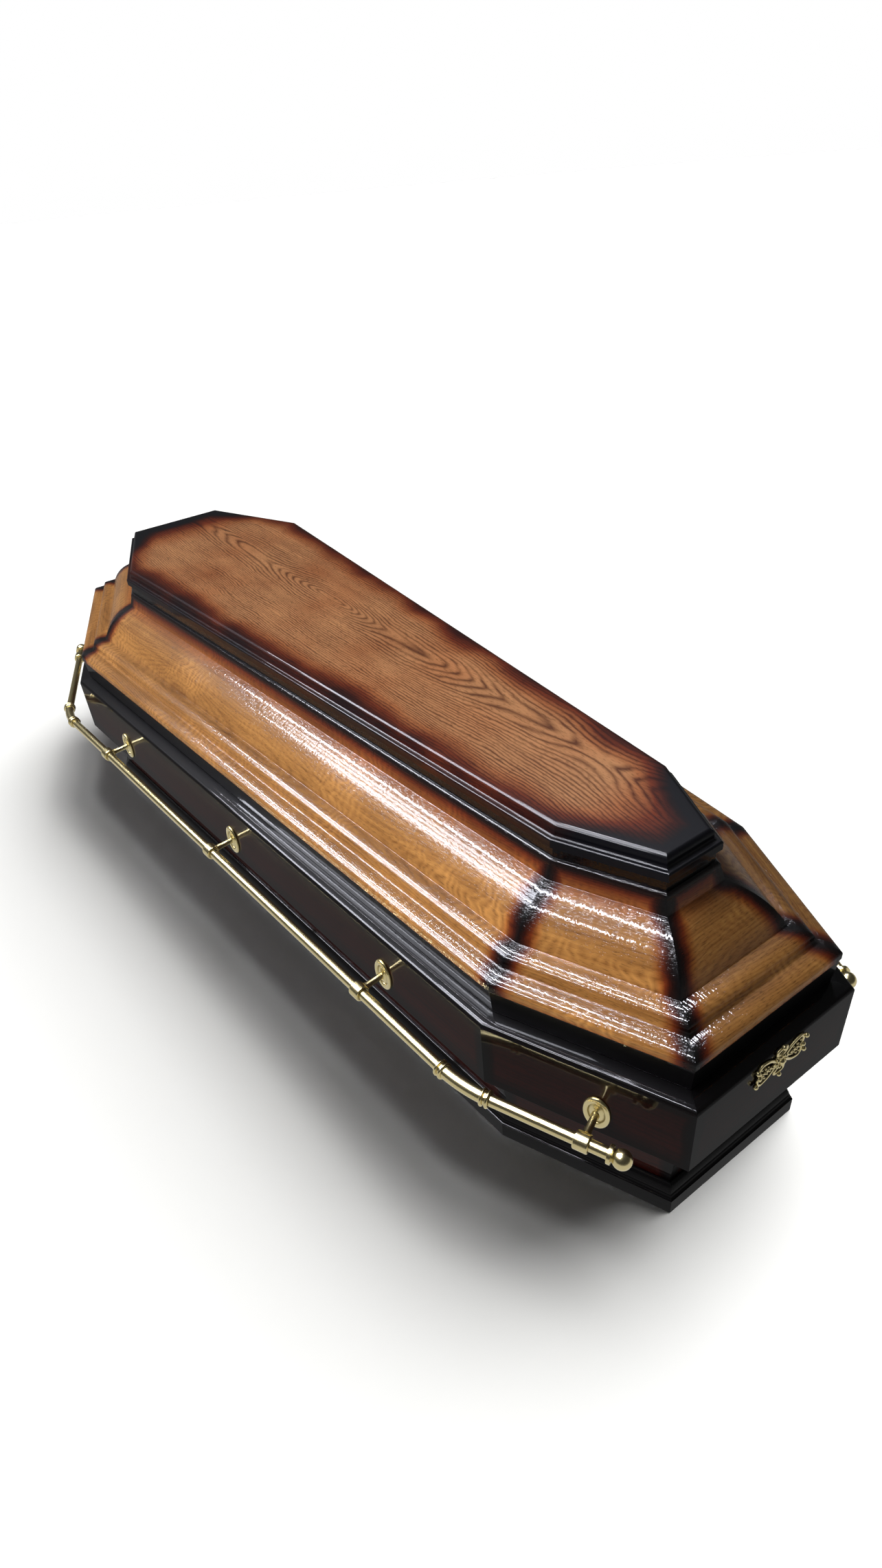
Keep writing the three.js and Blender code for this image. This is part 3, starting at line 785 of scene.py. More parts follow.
def timber_colour(tree, grain, pale, deep, rings, ring_share):
    """Colour of bare stained wood, and where its open pores lie."""
    streaks = grain_figure(tree, grain, 260, 6, 5.0)
    mixed = add_node(tree, "Mix", {0: ring_share, 2: streaks, 3: rings}, data_type="FLOAT")
    clouds = grain_figure(tree, grain, 130, 45)
    clouded = add_node(tree, "Math", {0: clouds, 1: 0.4, 2: mixed}, operation="MULTIPLY_ADD")
    level = add_node(tree, "MapRange", {"Value": clouded, "From Min": 0.3, "From Max": 1.0})
    wood = add_node(tree, "Mix", {0: level, 6: (*pale, 1), 7: (*deep, 1)}, data_type="RGBA")
    # Open pores, drawn 1.4 mm wide and 9 mm long so that they show
    spots = {"Value": grain_figure(tree, grain, 9, 1.4), "From Min": 0.52, "From Max": 0.7}
    pores = add_node(tree, "MapRange", spots, interpolation_type="SMOOTHSTEP")
    stain = add_node(tree, "Math", {0: pores, 1: 0.55}, operation="MULTIPLY")
    darkest = (*[c * 0.4 for c in deep], 1)
    pored = add_node(tree, "Mix", {0: stain, 6: wood.outputs[2], 7: darkest}, data_type="RGBA")
    return pored.outputs[2], pores


def sprayed(tree, wood, spray, black):
    """Dark stain sprayed over the wood: thin it is burgundy and see-through, thick it is black."""
    coats = add_node(tree, "ValToRGB", {0: spray})
    fill_ramp(coats, [(share, linear(colour)) for share, colour in SPRAY_COATS])
    stained = add_node(tree, "Mix", {0: 1.0, 6: wood, 7: coats}, data_type="RGBA", blend_type="MULTIPLY")
    closing = add_node(tree, "MapRange", {"Value": spray, "From Min": 0.75})
    covered = {0: closing, 6: stained.outputs[2], 7: (*black, 1)}
    return add_node(tree, "Mix", covered, data_type="RGBA").outputs[2]


def gloss_lacquer(tree, colour, height, depth, shine=1.0):
    """Thick clear lacquer, polished: a mirror coat that sinks a little over the grain below it."""
    sunk = add_node(tree, "Bump", {"Height": height, "Strength": 1.0, "Distance": depth})
    shader = add_node(tree, "BsdfPrincipled", {
        "Base Color": colour, "Roughness": 0.4, "IOR": 1.5, "Specular IOR Level": 0.08, "Normal": sunk,
        "Coat Weight": shine, "Coat Roughness": 0.035, "Coat IOR": 1.5, "Coat Normal": sunk,
    })
    add_node(tree, "OutputMaterial", {0: shader})


def grain_relief(tree, grain, pores):
    """Height of lacquer that has sunk into open-grained wood, with the pores as pits."""
    # Waves, drawn 4.5 mm long and 18 mm wide so that they break up the lights
    waves = grain_figure(tree, grain, 4.5, 18, 1.0)
    return add_node(tree, "Math", {0: pores, 1: -0.25, 2: waves}, operation="MULTIPLY_ADD")


def mitre_spray(tree, shade, width):
    """Spraying along both mitres of a board, ragged by a little, from 1 at the mitre to 0."""
    nearest = add_node(tree, "Math", {0: shade.outputs[0], 1: shade.outputs[1]}, operation="MINIMUM")
    spots = soft_spots(tree, 45)
    ragged = add_node(tree, "Math", {0: spots, 1: width * 0.5, 2: nearest}, operation="MULTIPLY_ADD")
    fade = {"Value": ragged, "From Min": width * 0.2, "From Max": width * 1.3, "To Min": 1.0, "To Max": 0.0}
    return add_node(tree, "MapRange", fade, interpolation_type="SMOOTHSTEP")


def board_spray(tree, shade, width, courses):
    """Darkening of a moulded board: sprayed along its mitres, and in courses of darkness at set heights in
    mm.
    """
    top = courses[-1][0]
    level = add_node(tree, "Math", {0: shade.outputs[2], 1: 1 / top}, operation="MULTIPLY")
    ramp = add_node(tree, "ValToRGB", {0: level})
    fill_ramp(ramp, [(height / top, strength) for height, strength in courses])
    return add_node(tree, "Math", {0: mitre_spray(tree, shade, width), 1: ramp}, operation="MAXIMUM")


def grain_and_shade(tree):
    """The piece's own grain coordinates in mm, and its distances for the spraying."""
    grain = add_node(tree, "Attribute", attribute_name="grain_mm").outputs["Vector"]
    shade = add_node(tree, "Attribute", attribute_name="shade_mm").outputs["Vector"]
    return grain, add_node(tree, "SeparateXYZ", {0: shade})


def lacquered_oak_boards(woodwork, colours):
    """Lid boards: oak run through a moulder, stained golden, sprayed dark at the mitres and neck, lacquered.
    It gives soft golden streaks with short dark pores, faint curls across the grain and a wet shine."""
    material, tree = new_material("Golden Oak, Sprayed and Lacquered")
    grain, shade = grain_and_shade(tree)
    rings = growth_rings(tree, grain, pitch=3.2, heart_depth=20, heart_drift=60, centre=95, sway=14)
    wood, pores = timber_colour(tree, grain, colours.side_pale, colours.side_deep, rings, ring_share=0.22)
    # Curls of silver grain, bands 8 mm wide that bend across the board
    bend = add_node(tree, "Math", {0: grain_figure(tree, grain, 60, 30), 1: 9.0}, operation="MULTIPLY")
    along = add_node(tree, "SeparateXYZ", {0: grain})
    place = add_node(tree, "Math", {0: along, 1: 1 / 8, 2: bend}, operation="MULTIPLY_ADD")
    curls = add_node(tree, "Math", {0: place, 1: 1.0}, operation="PINGPONG")
    patches = grain_figure(tree, grain, 170, 60)
    seen = add_node(tree, "MapRange", {"Value": patches, "From Min": 0.45, "From Max": 0.65, "To Max": 0.45})
    curled = add_node(tree, "Math", {0: curls, 1: seen}, operation="MULTIPLY")
    silver = (*[min(1, c * 1.5) for c in colours.side_pale], 1)
    lit = add_node(tree, "Mix", {0: curled, 6: wood, 7: silver}, data_type="RGBA")
    spray = board_spray(tree, shade, woodwork.mitre_shade / MM, LID_SPRAY)
    colour = sprayed(tree, lit.outputs[2], spray, colours.black)
    gloss_lacquer(tree, colour, grain_relief(tree, grain, pores), 0.3 * MM)
    return material


def lacquered_ash_top(woodwork, colours):
    """Top board: flat-sawn ash, stained red-brown, sprayed black round its edge, lacquered, with a painted
    reflection of the dark room that darkens both its ends to blue-black.
    It gives tall arches with dark late-wood lines in a dark frame, under a mirror shine."""
    material, tree = new_material("Red-Brown Ash, Sprayed and Lacquered")
    grain, shade = grain_and_shade(tree)
    pitch = woodwork.grain_pitch / MM
    rings = growth_rings(tree, grain, pitch, heart_depth=2, heart_drift=66, centre=55, sway=18)
    wood, pores = timber_colour(tree, grain, colours.top_pale, colours.top_deep, rings, ring_share=0.72)
    edge = TOP_FACE_INSET + TOP_BLACK_MARGIN
    width = woodwork.border_shade / MM
    spots = soft_spots(tree, 140)
    ragged = add_node(tree, "Math", {0: spots, 1: width * 0.9, 2: shade}, operation="MULTIPLY_ADD")
    fade = {"From Min": edge - width * 0.1, "From Max": edge + width * 1.3, "To Min": 1.0, "To Max": 0.0}
    border = add_node(tree, "MapRange", {"Value": ragged, **fade}, interpolation_type="SMOOTHSTEP")
    # Painted reflection: both ends of the board darken further, standing in for the dark room that the
    # lacquer mirrors there
    along = add_node(tree, "SeparateXYZ", {0: grain})
    from_middle = add_node(tree, "Math", {0: along}, operation="ABSOLUTE")
    rise = {"Value": from_middle, "From Min": TOP_PAINTED_REFLECTION_FROM, "From Max": TOP_PAINTED_REFLECTION_TO, "To Max": 0.7}
    ends = add_node(tree, "MapRange", rise, interpolation_type="SMOOTHSTEP")
    spray = add_node(tree, "Math", {0: border, 1: ends}, operation="ADD")
    colour = sprayed(tree, wood, spray, colours.border)
    gloss_lacquer(tree, colour, grain_relief(tree, grain, pores), 0.01 * MM, shine=0.6)
    return material


def cherry_stained_case(woodwork, colours):
    """Case boards and floor: oak stained dark cherry, sprayed black at the top and mitres, lacquered, and
    darker at its foot and just under the frieze's overhang.
    It gives a near-black red-brown in which the grain only shows in the light."""
    material, tree = new_material("Dark Cherry Stained Oak, Lacquered")
    grain, shade = grain_and_shade(tree)
    rings = growth_rings(tree, grain, pitch=8, heart_depth=20, heart_drift=60, centre=150, sway=20)
    wood, pores = timber_colour(tree, grain, colours.case_pale, colours.case_deep, rings, ring_share=0.4)
    spray = board_spray(tree, shade, woodwork.mitre_shade / MM, CASE_DARKENING)
    colour = sprayed(tree, wood, spray, colours.black)
    gloss_lacquer(tree, colour, grain_relief(tree, grain, pores), 0.01 * MM, shine=0.7)
    return material


def black_lacquer(colours):
    """Lid base and plinth: wood filled smooth, sprayed black and lacquered. It gives a black mirror."""
    material, tree = new_material("Black Lacquered Wood")
    # Orange peel of sprayed lacquer, about 9 mm from crest to crest
    peel = soft_spots(tree, 9, roughness=0.4)
    gloss_lacquer(tree, (*colours.black, 1), peel, 0.03 * MM, shine=0.7)
    return material


def antique_gilt(colours):
    """Rails and plaque: cast zinc, gilt and wiped with a dark patina. It gives bright worn crests over
    olive-brown hollows, and a soft metal shine."""
    material, tree = new_material("Antique Gilt Zinc Casting")
    shade = add_node(tree, "Attribute", attribute_name="shade_mm").outputs["Vector"]
    relief = add_node(tree, "SeparateXYZ", {0: shade})
    patches = soft_spots(tree, 7, detail=4.0, roughness=0.6)
    worn = add_node(tree, "Math", {0: patches, 1: 2.4, 2: relief}, operation="MULTIPLY_ADD")
    wear = {"Value": worn, "From Min": 1.6, "From Max": 5.2}
    bright = add_node(tree, "MapRange", wear, interpolation_type="SMOOTHSTEP")
    tones = {6: (*colours.tarnish, 1), 7: (*colours.gilt, 1)}
    colour = add_node(tree, "Mix", {0: bright, **tones}, data_type="RGBA").outputs[2]
    roughness = add_node(tree, "MapRange", {"Value": bright, "To Min": 0.5, "To Max": 0.24})
    surface = add_node(tree, "Bump", {"Height": patches, "Strength": 1.0, "Distance": 0.06 * MM})
    finish = {"Base Color": colour, "Roughness": roughness, "Normal": surface, "Metallic": 1.0}
    shader = add_node(tree, "BsdfPrincipled", finish)
    add_node(tree, "OutputMaterial", {0: shader})
    return material


def shared_material(name, make, colours):
    """The material of that name, made on first use."""
    return bpy.data.materials.get(name) or make(colours)


# Pieces


def run_boards(make_section, base, woodwork, look, node, material, slot, grain_step=0):
    """Mitres a board to each side of the plan. The grain step is the timber in mm from one to the next.
    Painted boards show no grain and need none."""
    section = make_section(woodwork.curve_steps)
    for i, side in enumerate(SIDES):
        board = mitred_board(section, side, base, woodwork.arris / MM, grain_step * i)
        board.dress(f"{look}_{side.name}", f"{node}_{side.name}", material, slot)


class COFFIN_OT_lid_boards(bpy.types.Operator):
    """Run the eight moulded boards of the lid"""

    bl_idname = "coffin.lid_boards"
    bl_label = "Lid Boards"

    def execute(self, context):
        woodwork, colours = finish_of(context)
        material = lacquered_oak_boards(woodwork, colours)
        run_boards(
            lid_board_section, LID_RIM_Z, woodwork, "moulded_lid_board", "lid_board", material, "lid_wood",
            LID_GRAIN_STEP,
        )
        return {"FINISHED"}


class COFFIN_OT_lid_base(bpy.types.Operator):
    """Run the black mouldings under the lid boards"""

    bl_idname = "coffin.lid_base"
    bl_label = "Lid Base Mouldings"

    def execute(self, context):
        woodwork, colours = finish_of(context)
        material = shared_material("Black Lacquered Wood", black_lacquer, colours)
        run_boards(lid_base_section, 0, woodwork, "black_lid_base", "lid_base", material, "black_lacquer")
        return {"FINISHED"}


class COFFIN_OT_lid_top(bpy.types.Operator):
    """Cut the top board with its two-step moulded edge"""

    bl_idname = "coffin.lid_top"
    bl_label = "Lid Top Board"

    def execute(self, context):
        woodwork, colours = finish_of(context)
        section = top_board_section(woodwork.curve_steps)
        rings = [TOP_FACE_INSET + inset for inset in TOP_FACE_RINGS]
        board = plan_board(section, woodwork.arris / MM, rings)
        board.dress("framed_top_board", "lid_top_board", lacquered_ash_top(woodwork, colours), "top_wood")
        return {"FINISHED"}


class COFFIN_OT_case_boards(bpy.types.Operator):
    """Run the eight wall boards of the case and lay its floor"""

    bl_idname = "coffin.case_boards"
    bl_label = "Case Boards"

    def execute(self, context):
        woodwork, colours = finish_of(context)
        material = cherry_stained_case(woodwork, colours)
        run_boards(
            case_board_section, 0, woodwork, "moulded_case_board", "case_board", material, "case_wood",
            CASE_GRAIN_STEP,
        )
        edge = Section(panel_inset(FLOOR_THICKNESS), 0, woodwork.curve_steps, closed=False)
        edge.line(0, FLOOR_THICKNESS)
        plan_board(edge, 0).dress("floor_board", "case_floor", material, "case_wood")
        return {"FINISHED"}


class COFFIN_OT_plinth(bpy.types.Operator):
    """Run the black mouldings round the foot of the case"""

    bl_idname = "coffin.plinth"
    bl_label = "Plinth Mouldings"

    def execute(self, context):
        woodwork, colours = finish_of(context)
        material = shared_material("Black Lacquered Wood", black_lacquer, colours)
        run_boards(plinth_section, 0, woodwork, "black_plinth", "plinth", material, "black_lacquer")
        return {"FINISHED"}


def rail_matrix(side, place):
    """From a fitting's own mm, with Z along the rail and X towards the wall, to metres in the frame."""
    return side.matrix() @ Matrix.Translation((RAIL_INSET, RAIL_Z, place))


def bar_profile(start, end, radius):
    bar = Section(start, POINT, CURL_STEPS, closed=False)
    return bar.line_to(start, radius).line_to(end, radius).line_to(end, POINT)


def collar_profile(place):
    half = COLLAR_WIDTH / 2
    rise = COLLAR_RADIUS - ELBOW_RADIUS
    collar = Section(place - half, POINT, CURL_STEPS, closed=False).line_to(place - half, ELBOW_RADIUS)
    return collar.arc((place, ELBOW_RADIUS), half, rise, math.pi, 0).line_to(place + half, POINT)


def add_bright(shell, surface, matrix):
    """Joins on a part of a fitting that is polished all over."""
    return shell.add(*surface, matrix, shade=[(POLISHED_RELIEF, 0, 0)] * len(surface[0]))


def rail_elbow(before, after):
    """Bent socket with a double collar at each mouth."""
    turn = before.along.angle(after.along)
    matrix = rail_matrix(before, before.length - RAIL_INSET * before.end_slope)
    ahead = Vector((math.sin(turn), 0, math.cos(turn)))
    path = []
    for i in range(ELBOW_STEPS + 1):
        t = i / ELBOW_STEPS
        path.append(Vector((0, 0, -ELBOW_REACH)) * (1 - t) ** 2 + ahead * ELBOW_REACH * t * t)
    shell = add_bright(Shell(), swept_bar(path, ELBOW_RADIUS, TURNING_SIDES), matrix)
    turned = matrix @ Matrix.Rotation(turn, 4, "Y")
    for place in (COLLAR_WIDTH / 2, COLLAR_WIDTH / 2 + COLLAR_SPACING):
        add_bright(shell, turning(collar_profile(place - ELBOW_REACH)), matrix)
        add_bright(shell, turning(collar_profile(ELBOW_REACH - place)), turned)
    return shell


def rail_cap(side, place, sign):
    """Collar and ball on the free end of a rail."""
    cap = Section(0, POINT, 2 * CURL_STEPS, closed=False)
    cap.line_to(0, COLLAR_RADIUS).line_to(COLLAR_WIDTH, COLLAR_RADIUS)
    cap.line_to(COLLAR_WIDTH + CAP_NECK_LENGTH, CAP_NECK_RADIUS)
    # The ball starts at the neck and stops just short of the axis
    start = math.pi - math.asin(CAP_NECK_RADIUS / CAP_RADIUS)
    cap.arc((CAP_LENGTH - CAP_RADIUS, 0), CAP_RADIUS, CAP_RADIUS, start, 0.01)
    matrix = rail_matrix(side, place)
    if sign < 0:
        matrix = matrix @ Matrix.Rotation(math.pi, 4, "Y")
    return add_bright(Shell(), turning(cap), matrix)


def rail_bracket(side, place):
    """Oval rose on the frieze, waisted arm, and a ring that the tube passes through."""
    matrix = rail_matrix(side, place)
    quarter = math.pi / 2
    wall = RAIL_STANDOFF - SEAM
    bore = RAIL_RADIUS + SEAM
    outer = bore + BRACKET_RING_WALL
    half = BRACKET_RING_WIDTH / 2
    run, rise = BRACKET_RING_ARRIS
    ring = Section(-half, bore, CURL_STEPS).line_to(-half, outer - rise)
    ring.arc((run - half, outer - rise), run, rise, math.pi, quarter).line_to(half - run, outer)
    ring.arc((half - run, outer - rise), run, rise, quarter, 0).line_to(half, bore)
    shell = add_bright(Shell(), turning(ring), matrix)
    towards_wall = matrix @ Matrix.Rotation(quarter, 4, "Y")
    start = bore + BRACKET_ARM_BITE
    middle = (start + wall) / 2
    hollow = BRACKET_ARM_RADIUS - BRACKET_WAIST_RADIUS
    arm = Section(start, POINT, 20, closed=False).line_to(start, BRACKET_ARM_RADIUS)
    arm.arc((middle, BRACKET_ARM_RADIUS), middle - start, hollow, -math.pi, 0)
    arm.line_to(wall - BRACKET_ARM_BITE, POINT)
    add_bright(shell, turning(arm, soften=0.2), towards_wall)
    # Face of the rose in shares of its half width and thickness: a boss, a groove and a bead at the rim
    deep = BRACKET_PLATE_THICKNESS
    wide = BRACKET_PLATE_WIDTH / 2
    rose = Section(wall - deep, POINT, 16, closed=False).line_to(wall - deep, wide * 0.3)
    rose.line_to(wall - deep * 0.8, wide * 0.4).line_to(wall - deep * 0.3, wide * 0.62)
    rose.arc((wall - deep * 0.3, wide * 0.8), deep * 0.6, wide * 0.18, -quarter, -3 * quarter)
    rose.line_to(wall, wide).line_to(wall, POINT)
    taller = Matrix.Diagonal((1, BRACKET_PLATE_HEIGHT / BRACKET_PLATE_WIDTH, 1, 1))
    vertices, faces, normals = turning(rose, soften=0.4)
    # The groove between the boss and the bead keeps its tarnish
    relief = [(POLISHED_RELIEF * (wall - vertex[2]) / deep, 0, 0) for vertex in vertices]
    return shell.add(vertices, faces, normals, towards_wall @ taller, shade=relief)


class COFFIN_OT_handle_rails(bpy.types.Operator):
    """Turn the two gilt handle rails with their elbows, caps and brackets"""

    bl_idname = "coffin.handle_rails"
    bl_label = "Handle Rails"

    def execute(self, context):
        colours = finish_of(context)[1]
        material = shared_material("Antique Gilt Zinc Casting", antique_gilt, colours)
        for hand in ("left", "right"):
            self.make_rail(hand, material)
        return {"FINISHED"}

    def make_rail(self, hand, material):
        side = side_named(f"{hand}_side")
        reach = ELBOW_REACH + SEAM
        start = RAIL_INSET * side.start_slope
        end = side.length - RAIL_INSET * side.end_slope
        self.tube(side, hand, "side", start + reach, end - reach, material)
        for i in range(SIDE_BRACKETS):
            place = start + (i + 0.5) / SIDE_BRACKETS * (end - start)
            self.bracket(side, hand, f"side_{i + 1}", place, material)
        for end_name in ("foot", "head"):
            corner = side_named(f"{end_name}_{hand}_corner")
            if (end_name == "foot") == (hand == "right"):
                elbow = rail_elbow(corner, side)
                sign = -1
                free = RAIL_END_SETBACK
                bend = corner.length - RAIL_INSET * corner.end_slope
            else:
                elbow = rail_elbow(side, corner)
                sign = 1
                free = corner.length - RAIL_END_SETBACK
                bend = RAIL_INSET * corner.start_slope
            label = f"{hand}_{end_name}"
            elbow.dress(f"gilt_elbow_{label}", f"rail_elbow_{label}", material, "gilt_metal")
            part = f"{end_name}_corner"
            near, far = sorted((free, bend + sign * reach))
            self.tube(corner, hand, part, near, far, material)
            self.bracket(corner, hand, part, free - sign * BRACKET_END_SETBACK, material)
            cap = rail_cap(corner, free + sign * SEAM, sign)
            cap.dress(f"gilt_cap_{label}", f"rail_cap_{label}", material, "gilt_metal")

    def tube(self, side, hand, part, start, end, material):
        shell = add_bright(Shell(), turning(bar_profile(start, end, RAIL_RADIUS)), rail_matrix(side, 0))
        shell.dress(f"gilt_tube_{hand}_{part}", f"rail_tube_{hand}_{part}", material, "gilt_metal")

    def bracket(self, side, hand, part, place, material):
        shell = rail_bracket(side, place)
        shell.dress(f"gilt_bracket_{hand}_{part}", f"rail_bracket_{hand}_{part}", material, "gilt_metal")


def drop_path(reach, breadth, aim, inward, lift):
    """Middle line of a drop-shaped loop from the core outwards, drawn in by a distance. Its legs and its tip
    curve between points in shares of its reach and half breadth."""
    back = PLAQUE_CORE / 2 + inward
    tip = reach - inward
    half = breadth / 2 - inward
    legs = (
        ((back, 0), (back + reach * 0.3, half), (reach * 0.55, half * 1.15), (reach * 0.8, half)),
        ((reach * 0.8, half), (tip, half * 0.8), (tip, -half * 0.8), (reach * 0.8, -half)),
        ((reach * 0.8, -half), (reach * 0.55, -half * 1.15), (back + reach * 0.3, -half), (back, 0)),
    )
    path = []
    turn = Matrix.Rotation(aim, 3, "Z")
    for a, b, c, d in legs:
        for i in range(LOOP_STEPS):
            t = i / LOOP_STEPS
            spot = (
                Vector(a) * (1 - t) ** 3 + Vector(b) * 3 * t * (1 - t) ** 2
                + Vector(c) * 3 * t * t * (1 - t) + Vector(d) * t ** 3
            )
            path.append(turn @ Vector((spot.x, spot.y, lift)))
    return path


class COFFIN_OT_end_plaque(bpy.types.Operator):
    """Cast the openwork plaque of the foot end"""

    bl_idname = "coffin.end_plaque"
    bl_label = "End Plaque"

    def execute(self, context):
        colours = finish_of(context)[1]
        material = shared_material("Antique Gilt Zinc Casting", antique_gilt, colours)
        side = side_named("foot_end")
        outwards = Matrix.Rotation(-math.pi / 2, 4, "Y")
        back = (-RIM_LEDGE - SEAM, PLAQUE_Z, side.length / 2)
        matrix = side.matrix() @ Matrix.Translation(back) @ outwards
        shell = Shell()
        half_width = PLAQUE_WIDTH / 2 - PEARL
        half_height = PLAQUE_HEIGHT / 2 - PEARL
        breadth = half_height * LOOP_BREADTH
        row = half_width * PEARL_ROW
        lift = math.atan2(breadth / 2, row)
        rib = PLAQUE_RIB / 2
        for turn in (0, math.pi):
            for reach, aim in ((half_width, lift), (half_width, -lift), (half_height, math.pi / 2)):
                path = drop_path(reach, breadth, turn + aim, rib, rib * RIB_SQUASH)
                shell.add(*swept_bar(path, rib, 12, looped=True, squash=RIB_SQUASH), matrix)
                heading = Vector((math.cos(turn + aim), math.sin(turn + aim), 0))
                self.pearl(shell, heading * reach, PEARL, PEARL, matrix)
                if reach > half_height:
                    for share, size in LOOP_PEARLS:
                        self.pearl(shell, heading * reach * share, PEARL * size, PEARL * size, matrix)
            ahead = Vector((math.cos(turn), 0, 0))
            self.pearl(shell, ahead * (row + PEARL), PEARL, PEARL, matrix)
            for share in ROW_PEARLS:
                place = ahead * ((row + PEARL) * share + ROW_START)
                self.pearl(shell, place, PEARL * 0.8, PEARL * 0.6, matrix)
        boss = Section(0, PLAQUE_CORE, CURL_STEPS, closed=False)
        for height, share in BOSS_STEPS:
            boss.line_to(height, PLAQUE_CORE * share)
        boss.line_to(BOSS_TOP, POINT)
        shell.add(*turning(boss), matrix)
        top = PEARL * 1.3
        shell.add(*ball((0, 0, PLAQUE_DEPTH - top), top, sides=24), matrix)
        for i in range(PLAQUE_PEARLS):
            aim = 2 * math.pi * i / PLAQUE_PEARLS
            spot = Vector((math.cos(aim), math.sin(aim), 0)) * (PLAQUE_CORE - PEARL * 0.8)
            self.pearl(shell, spot, BOSS_PEARL_HEIGHT, PEARL * 0.7, matrix)
        shell.dress("openwork_foot_plaque", "foot_end_plaque", material, "gilt_metal")
        return {"FINISHED"}

    def pearl(self, shell, place, height, radius, matrix):
        shell.add(*ball(place + Vector((0, 0, height)), radius), matrix)


class COFFIN_OT_studio(bpy.types.Operator):
    """Lay the pale floor and set up the soft lights and the camera"""

    bl_idname = "coffin.studio"
    bl_label = "Studio"

    def execute(self, context):
        studio = context.scene.coffin_studio
        self.floor(studio)
        self.backdrop()
        self.sky(studio)
        self.lamps(studio)
        self.camera(studio)
        return {"FINISHED"}

    def floor(self, studio):
        """Paper sweep. It gives a matt near-white that clips to white where the light is full."""
        material, tree = new_material("Pale Paper Sweep")
        fibres = soft_spots(tree, FIBRE_SIZE, detail=2.0)
        surface = add_node(tree, "Bump", {"Height": fibres, "Strength": 0.1, "Distance": 0.2 * MM})
        finish = {"Base Color": (*studio.floor, 1), "Roughness": 0.9, "Specular IOR Level": 0.2}
        shader = add_node(tree, "BsdfPrincipled", {**finish, "Normal": surface})
        add_node(tree, "OutputMaterial", {0: shader})
        aims = [2 * math.pi * i / FLOOR_SIDES for i in range(FLOOR_SIDES)]
        rim = [(FLOOR_RADIUS * math.cos(aim), FLOOR_RADIUS * math.sin(aim), 0) for aim in aims]
        mesh = bpy.data.meshes.new("pale_floor")
        mesh.from_pydata(rim, [], [tuple(range(FLOOR_SIDES))])
        mesh.materials.append(material)
        obj = linked("pale_floor", mesh)
        # The lacquer mirrors the dim room and not the bright paper, which keeps the blacks black
        obj.visible_glossy = False

    def backdrop(self):
        """White dome that only the camera sees."""
        material, tree = new_material("White Backdrop")
        glow = add_node(tree, "Emission", {"Color": (1, 1, 1, 1)})
        add_node(tree, "OutputMaterial", {0: glow})
        mesh = bpy.data.meshes.new("pale_backdrop")
        dome = bmesh.new()
        bmesh.ops.create_uvsphere(dome, u_segments=48, v_segments=24, radius=BACKDROP_RADIUS)
        dome.to_mesh(mesh)
        dome.free()
        mesh.materials.append(material)
        obj = linked("pale_backdrop", mesh)
        obj.visible_diffuse = False
        obj.visible_glossy = False
        obj.visible_shadow = False

    def sky(self, studio):
        """Dim room, a little lighter below the horizon."""
        world = bpy.data.worlds.new("Soft Room")
        bpy.context.scene.world = world
        world.use_nodes = True
        tree = world.node_tree
        tree.nodes.clear()
        direction = add_node(tree, "TexCoord")
        height = add_node(tree, "SeparateXYZ", {0: direction.outputs["Generated"]}).outputs[2]
        share = add_node(tree, "MapRange", {"Value": height, "From Min": -1.0})
        ramp = add_node(tree, "ValToRGB", {0: share})
        fill_ramp(ramp, ((0.0, 1.0), (0.45, 1.0), (0.62, 0.35), (1.0, 0.35)))
        background = add_node(tree, "Background", {0: ramp, 1: studio.sky_power})
        add_node(tree, "OutputWorld", {0: background})

    def lamps(self, studio):
        meshes = [obj for obj in bpy.context.scene.objects if obj.type == "MESH"]
        pieces = [obj for obj in meshes if not obj.name.startswith("pale")]
        gilt = [obj for obj in pieces if obj.name.startswith(("gilt", "openwork"))]
        self.broad_light("paper_key", PAPER_KEY_FROM, studio.paper_key, [bpy.data.objects["pale_floor"]])
        self.broad_light("side_key", SIDE_KEY_FROM, studio.side_key, pieces)
        for name, (x, y), size, share in CEILING_LIGHTS:
            light = bpy.data.lights.new(name, "AREA")
            light.shape = "RECTANGLE"
            light.size, light.size_y = size
            light.energy = share * studio.ceiling_power
            light.color = studio.tube_colour
            lamp = linked(name, light)
            lamp.location = (x, y, CEILING)
            lamp.visible_diffuse = False
        # What the metal mirrors of the bright paper
        glow = bpy.data.lights.new("paper_glow", "AREA")
        glow.size = PAPER_GLOW_SIZE
        glow.energy = studio.paper_glow
        lamp = linked("paper_glow", glow)
        lamp.location.z = PAPER_GLOW_HEIGHT
        lamp.rotation_euler.x = math.pi
        self.limit(lamp, gilt)
        # Plain colours, in which the lights and the paper clip to white
        bpy.context.scene.view_settings.view_transform = "Standard"

    def broad_light(self, name, comes_from, strength, receivers):
        light = bpy.data.lights.new(name, "SUN")
        light.energy = strength
        light.angle = KEY_ANGLE
        lamp = linked(name, light)
        lamp.rotation_euler = (-Vector(comes_from)).to_track_quat("-Z", "Y").to_euler()
        lamp.visible_glossy = False
        self.limit(lamp, receivers)

    def limit(self, lamp, receivers):
        """Lets a lamp light nothing but the receivers."""
        lit = bpy.data.collections.new(lamp.name + "_receivers")
        for obj in receivers:
            lit.objects.link(obj)
        lamp.light_linking.receiver_collection = lit

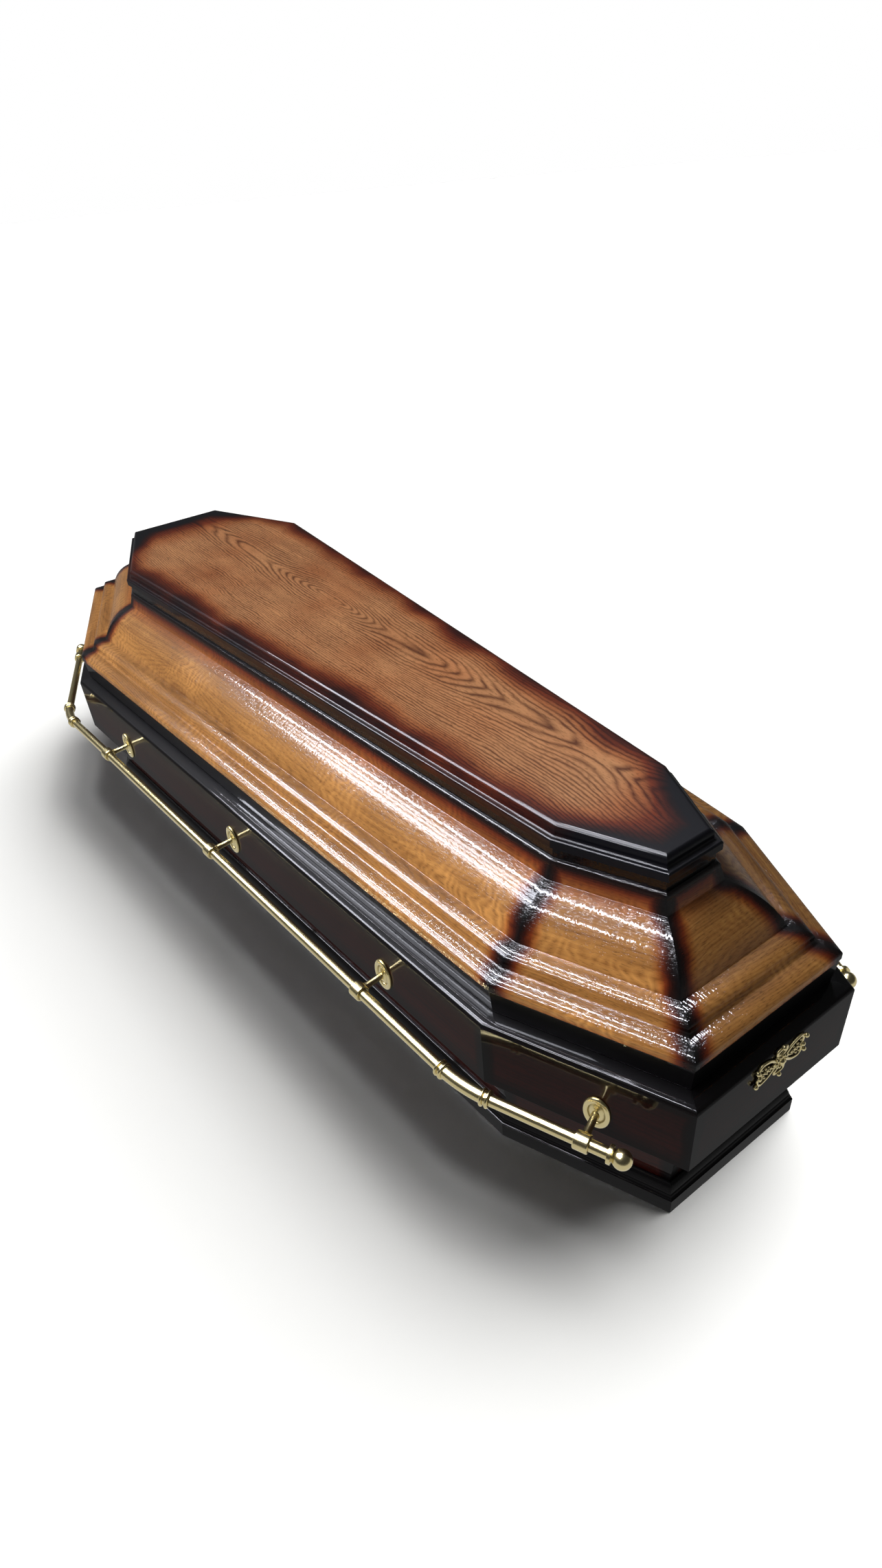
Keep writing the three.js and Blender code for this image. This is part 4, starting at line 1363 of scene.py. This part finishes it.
    def camera(self, studio):
        data = bpy.data.cameras.new("studio_camera")
        data.sensor_fit = "VERTICAL"
        data.sensor_height = SENSOR_HEIGHT
        data.lens = studio.focal_length
        data.clip_start = 20 * MM
        obj = linked("studio_camera", data)
        azimuth = math.radians(CAMERA_AZIMUTH)
        elevation = math.radians(CAMERA_ELEVATION)
        roll = math.radians(CAMERA_ROLL)
        level = Vector((math.cos(azimuth), math.sin(azimuth), 0))
        flat = math.cos(elevation)
        view = Vector((-math.sin(azimuth) * flat, math.cos(azimuth) * flat, -math.sin(elevation)))
        below = view.cross(level)
        right = level * math.cos(roll) + below * math.sin(roll)
        down = below * math.cos(roll) - level * math.sin(roll)
        turn = Matrix((right, -down, -view)).transposed().to_4x4()
        place = Vector(CAMERA_PLACE) + Vector((RIM_MIDDLE_X * MM, 0, 0))
        obj.matrix_world = Matrix.Translation(place) @ turn
        bpy.context.scene.camera = obj


class COFFIN_PT_panel(bpy.types.Panel):
    """Lists the coffin's pieces and settings in the sidebar"""

    bl_idname = "COFFIN_PT_panel"
    bl_label = "Coffin"
    bl_space_type = "VIEW_3D"
    bl_region_type = "UI"
    bl_category = "Coffin"

    def draw(self, context):
        for operator in OPERATORS:
            self.layout.operator(operator.bl_idname)
        for settings in (*finish_of(context), context.scene.coffin_studio):
            box = self.layout.box()
            for key in settings.bl_rna.properties.keys():
                if key not in ("rna_type", "name"):
                    box.prop(settings, key)


OPERATORS = (
    COFFIN_OT_lid_boards, COFFIN_OT_lid_base, COFFIN_OT_lid_top, COFFIN_OT_case_boards,
    COFFIN_OT_plinth, COFFIN_OT_handle_rails, COFFIN_OT_end_plaque, COFFIN_OT_studio,
)
CLASSES = (CoffinWoodwork, CoffinColours, CoffinStudio, *OPERATORS, COFFIN_PT_panel)


def register():
    for cls in CLASSES:
        bpy.utils.register_class(cls)
    bpy.types.Scene.coffin_woodwork = PointerProperty(type=CoffinWoodwork)
    bpy.types.Scene.coffin_colours = PointerProperty(type=CoffinColours)
    bpy.types.Scene.coffin_studio = PointerProperty(type=CoffinStudio)


def unregister():
    del bpy.types.Scene.coffin_studio
    del bpy.types.Scene.coffin_colours
    del bpy.types.Scene.coffin_woodwork
    for cls in reversed(CLASSES):
        bpy.utils.unregister_class(cls)


def main():
    register()
    bpy.ops.coffin.lid_boards()
    bpy.ops.coffin.lid_base()
    bpy.ops.coffin.lid_top()
    bpy.ops.coffin.case_boards()
    bpy.ops.coffin.plinth()
    bpy.ops.coffin.handle_rails()
    bpy.ops.coffin.end_plaque()
    bpy.ops.coffin.studio()


if __name__ == "__main__":
    main()
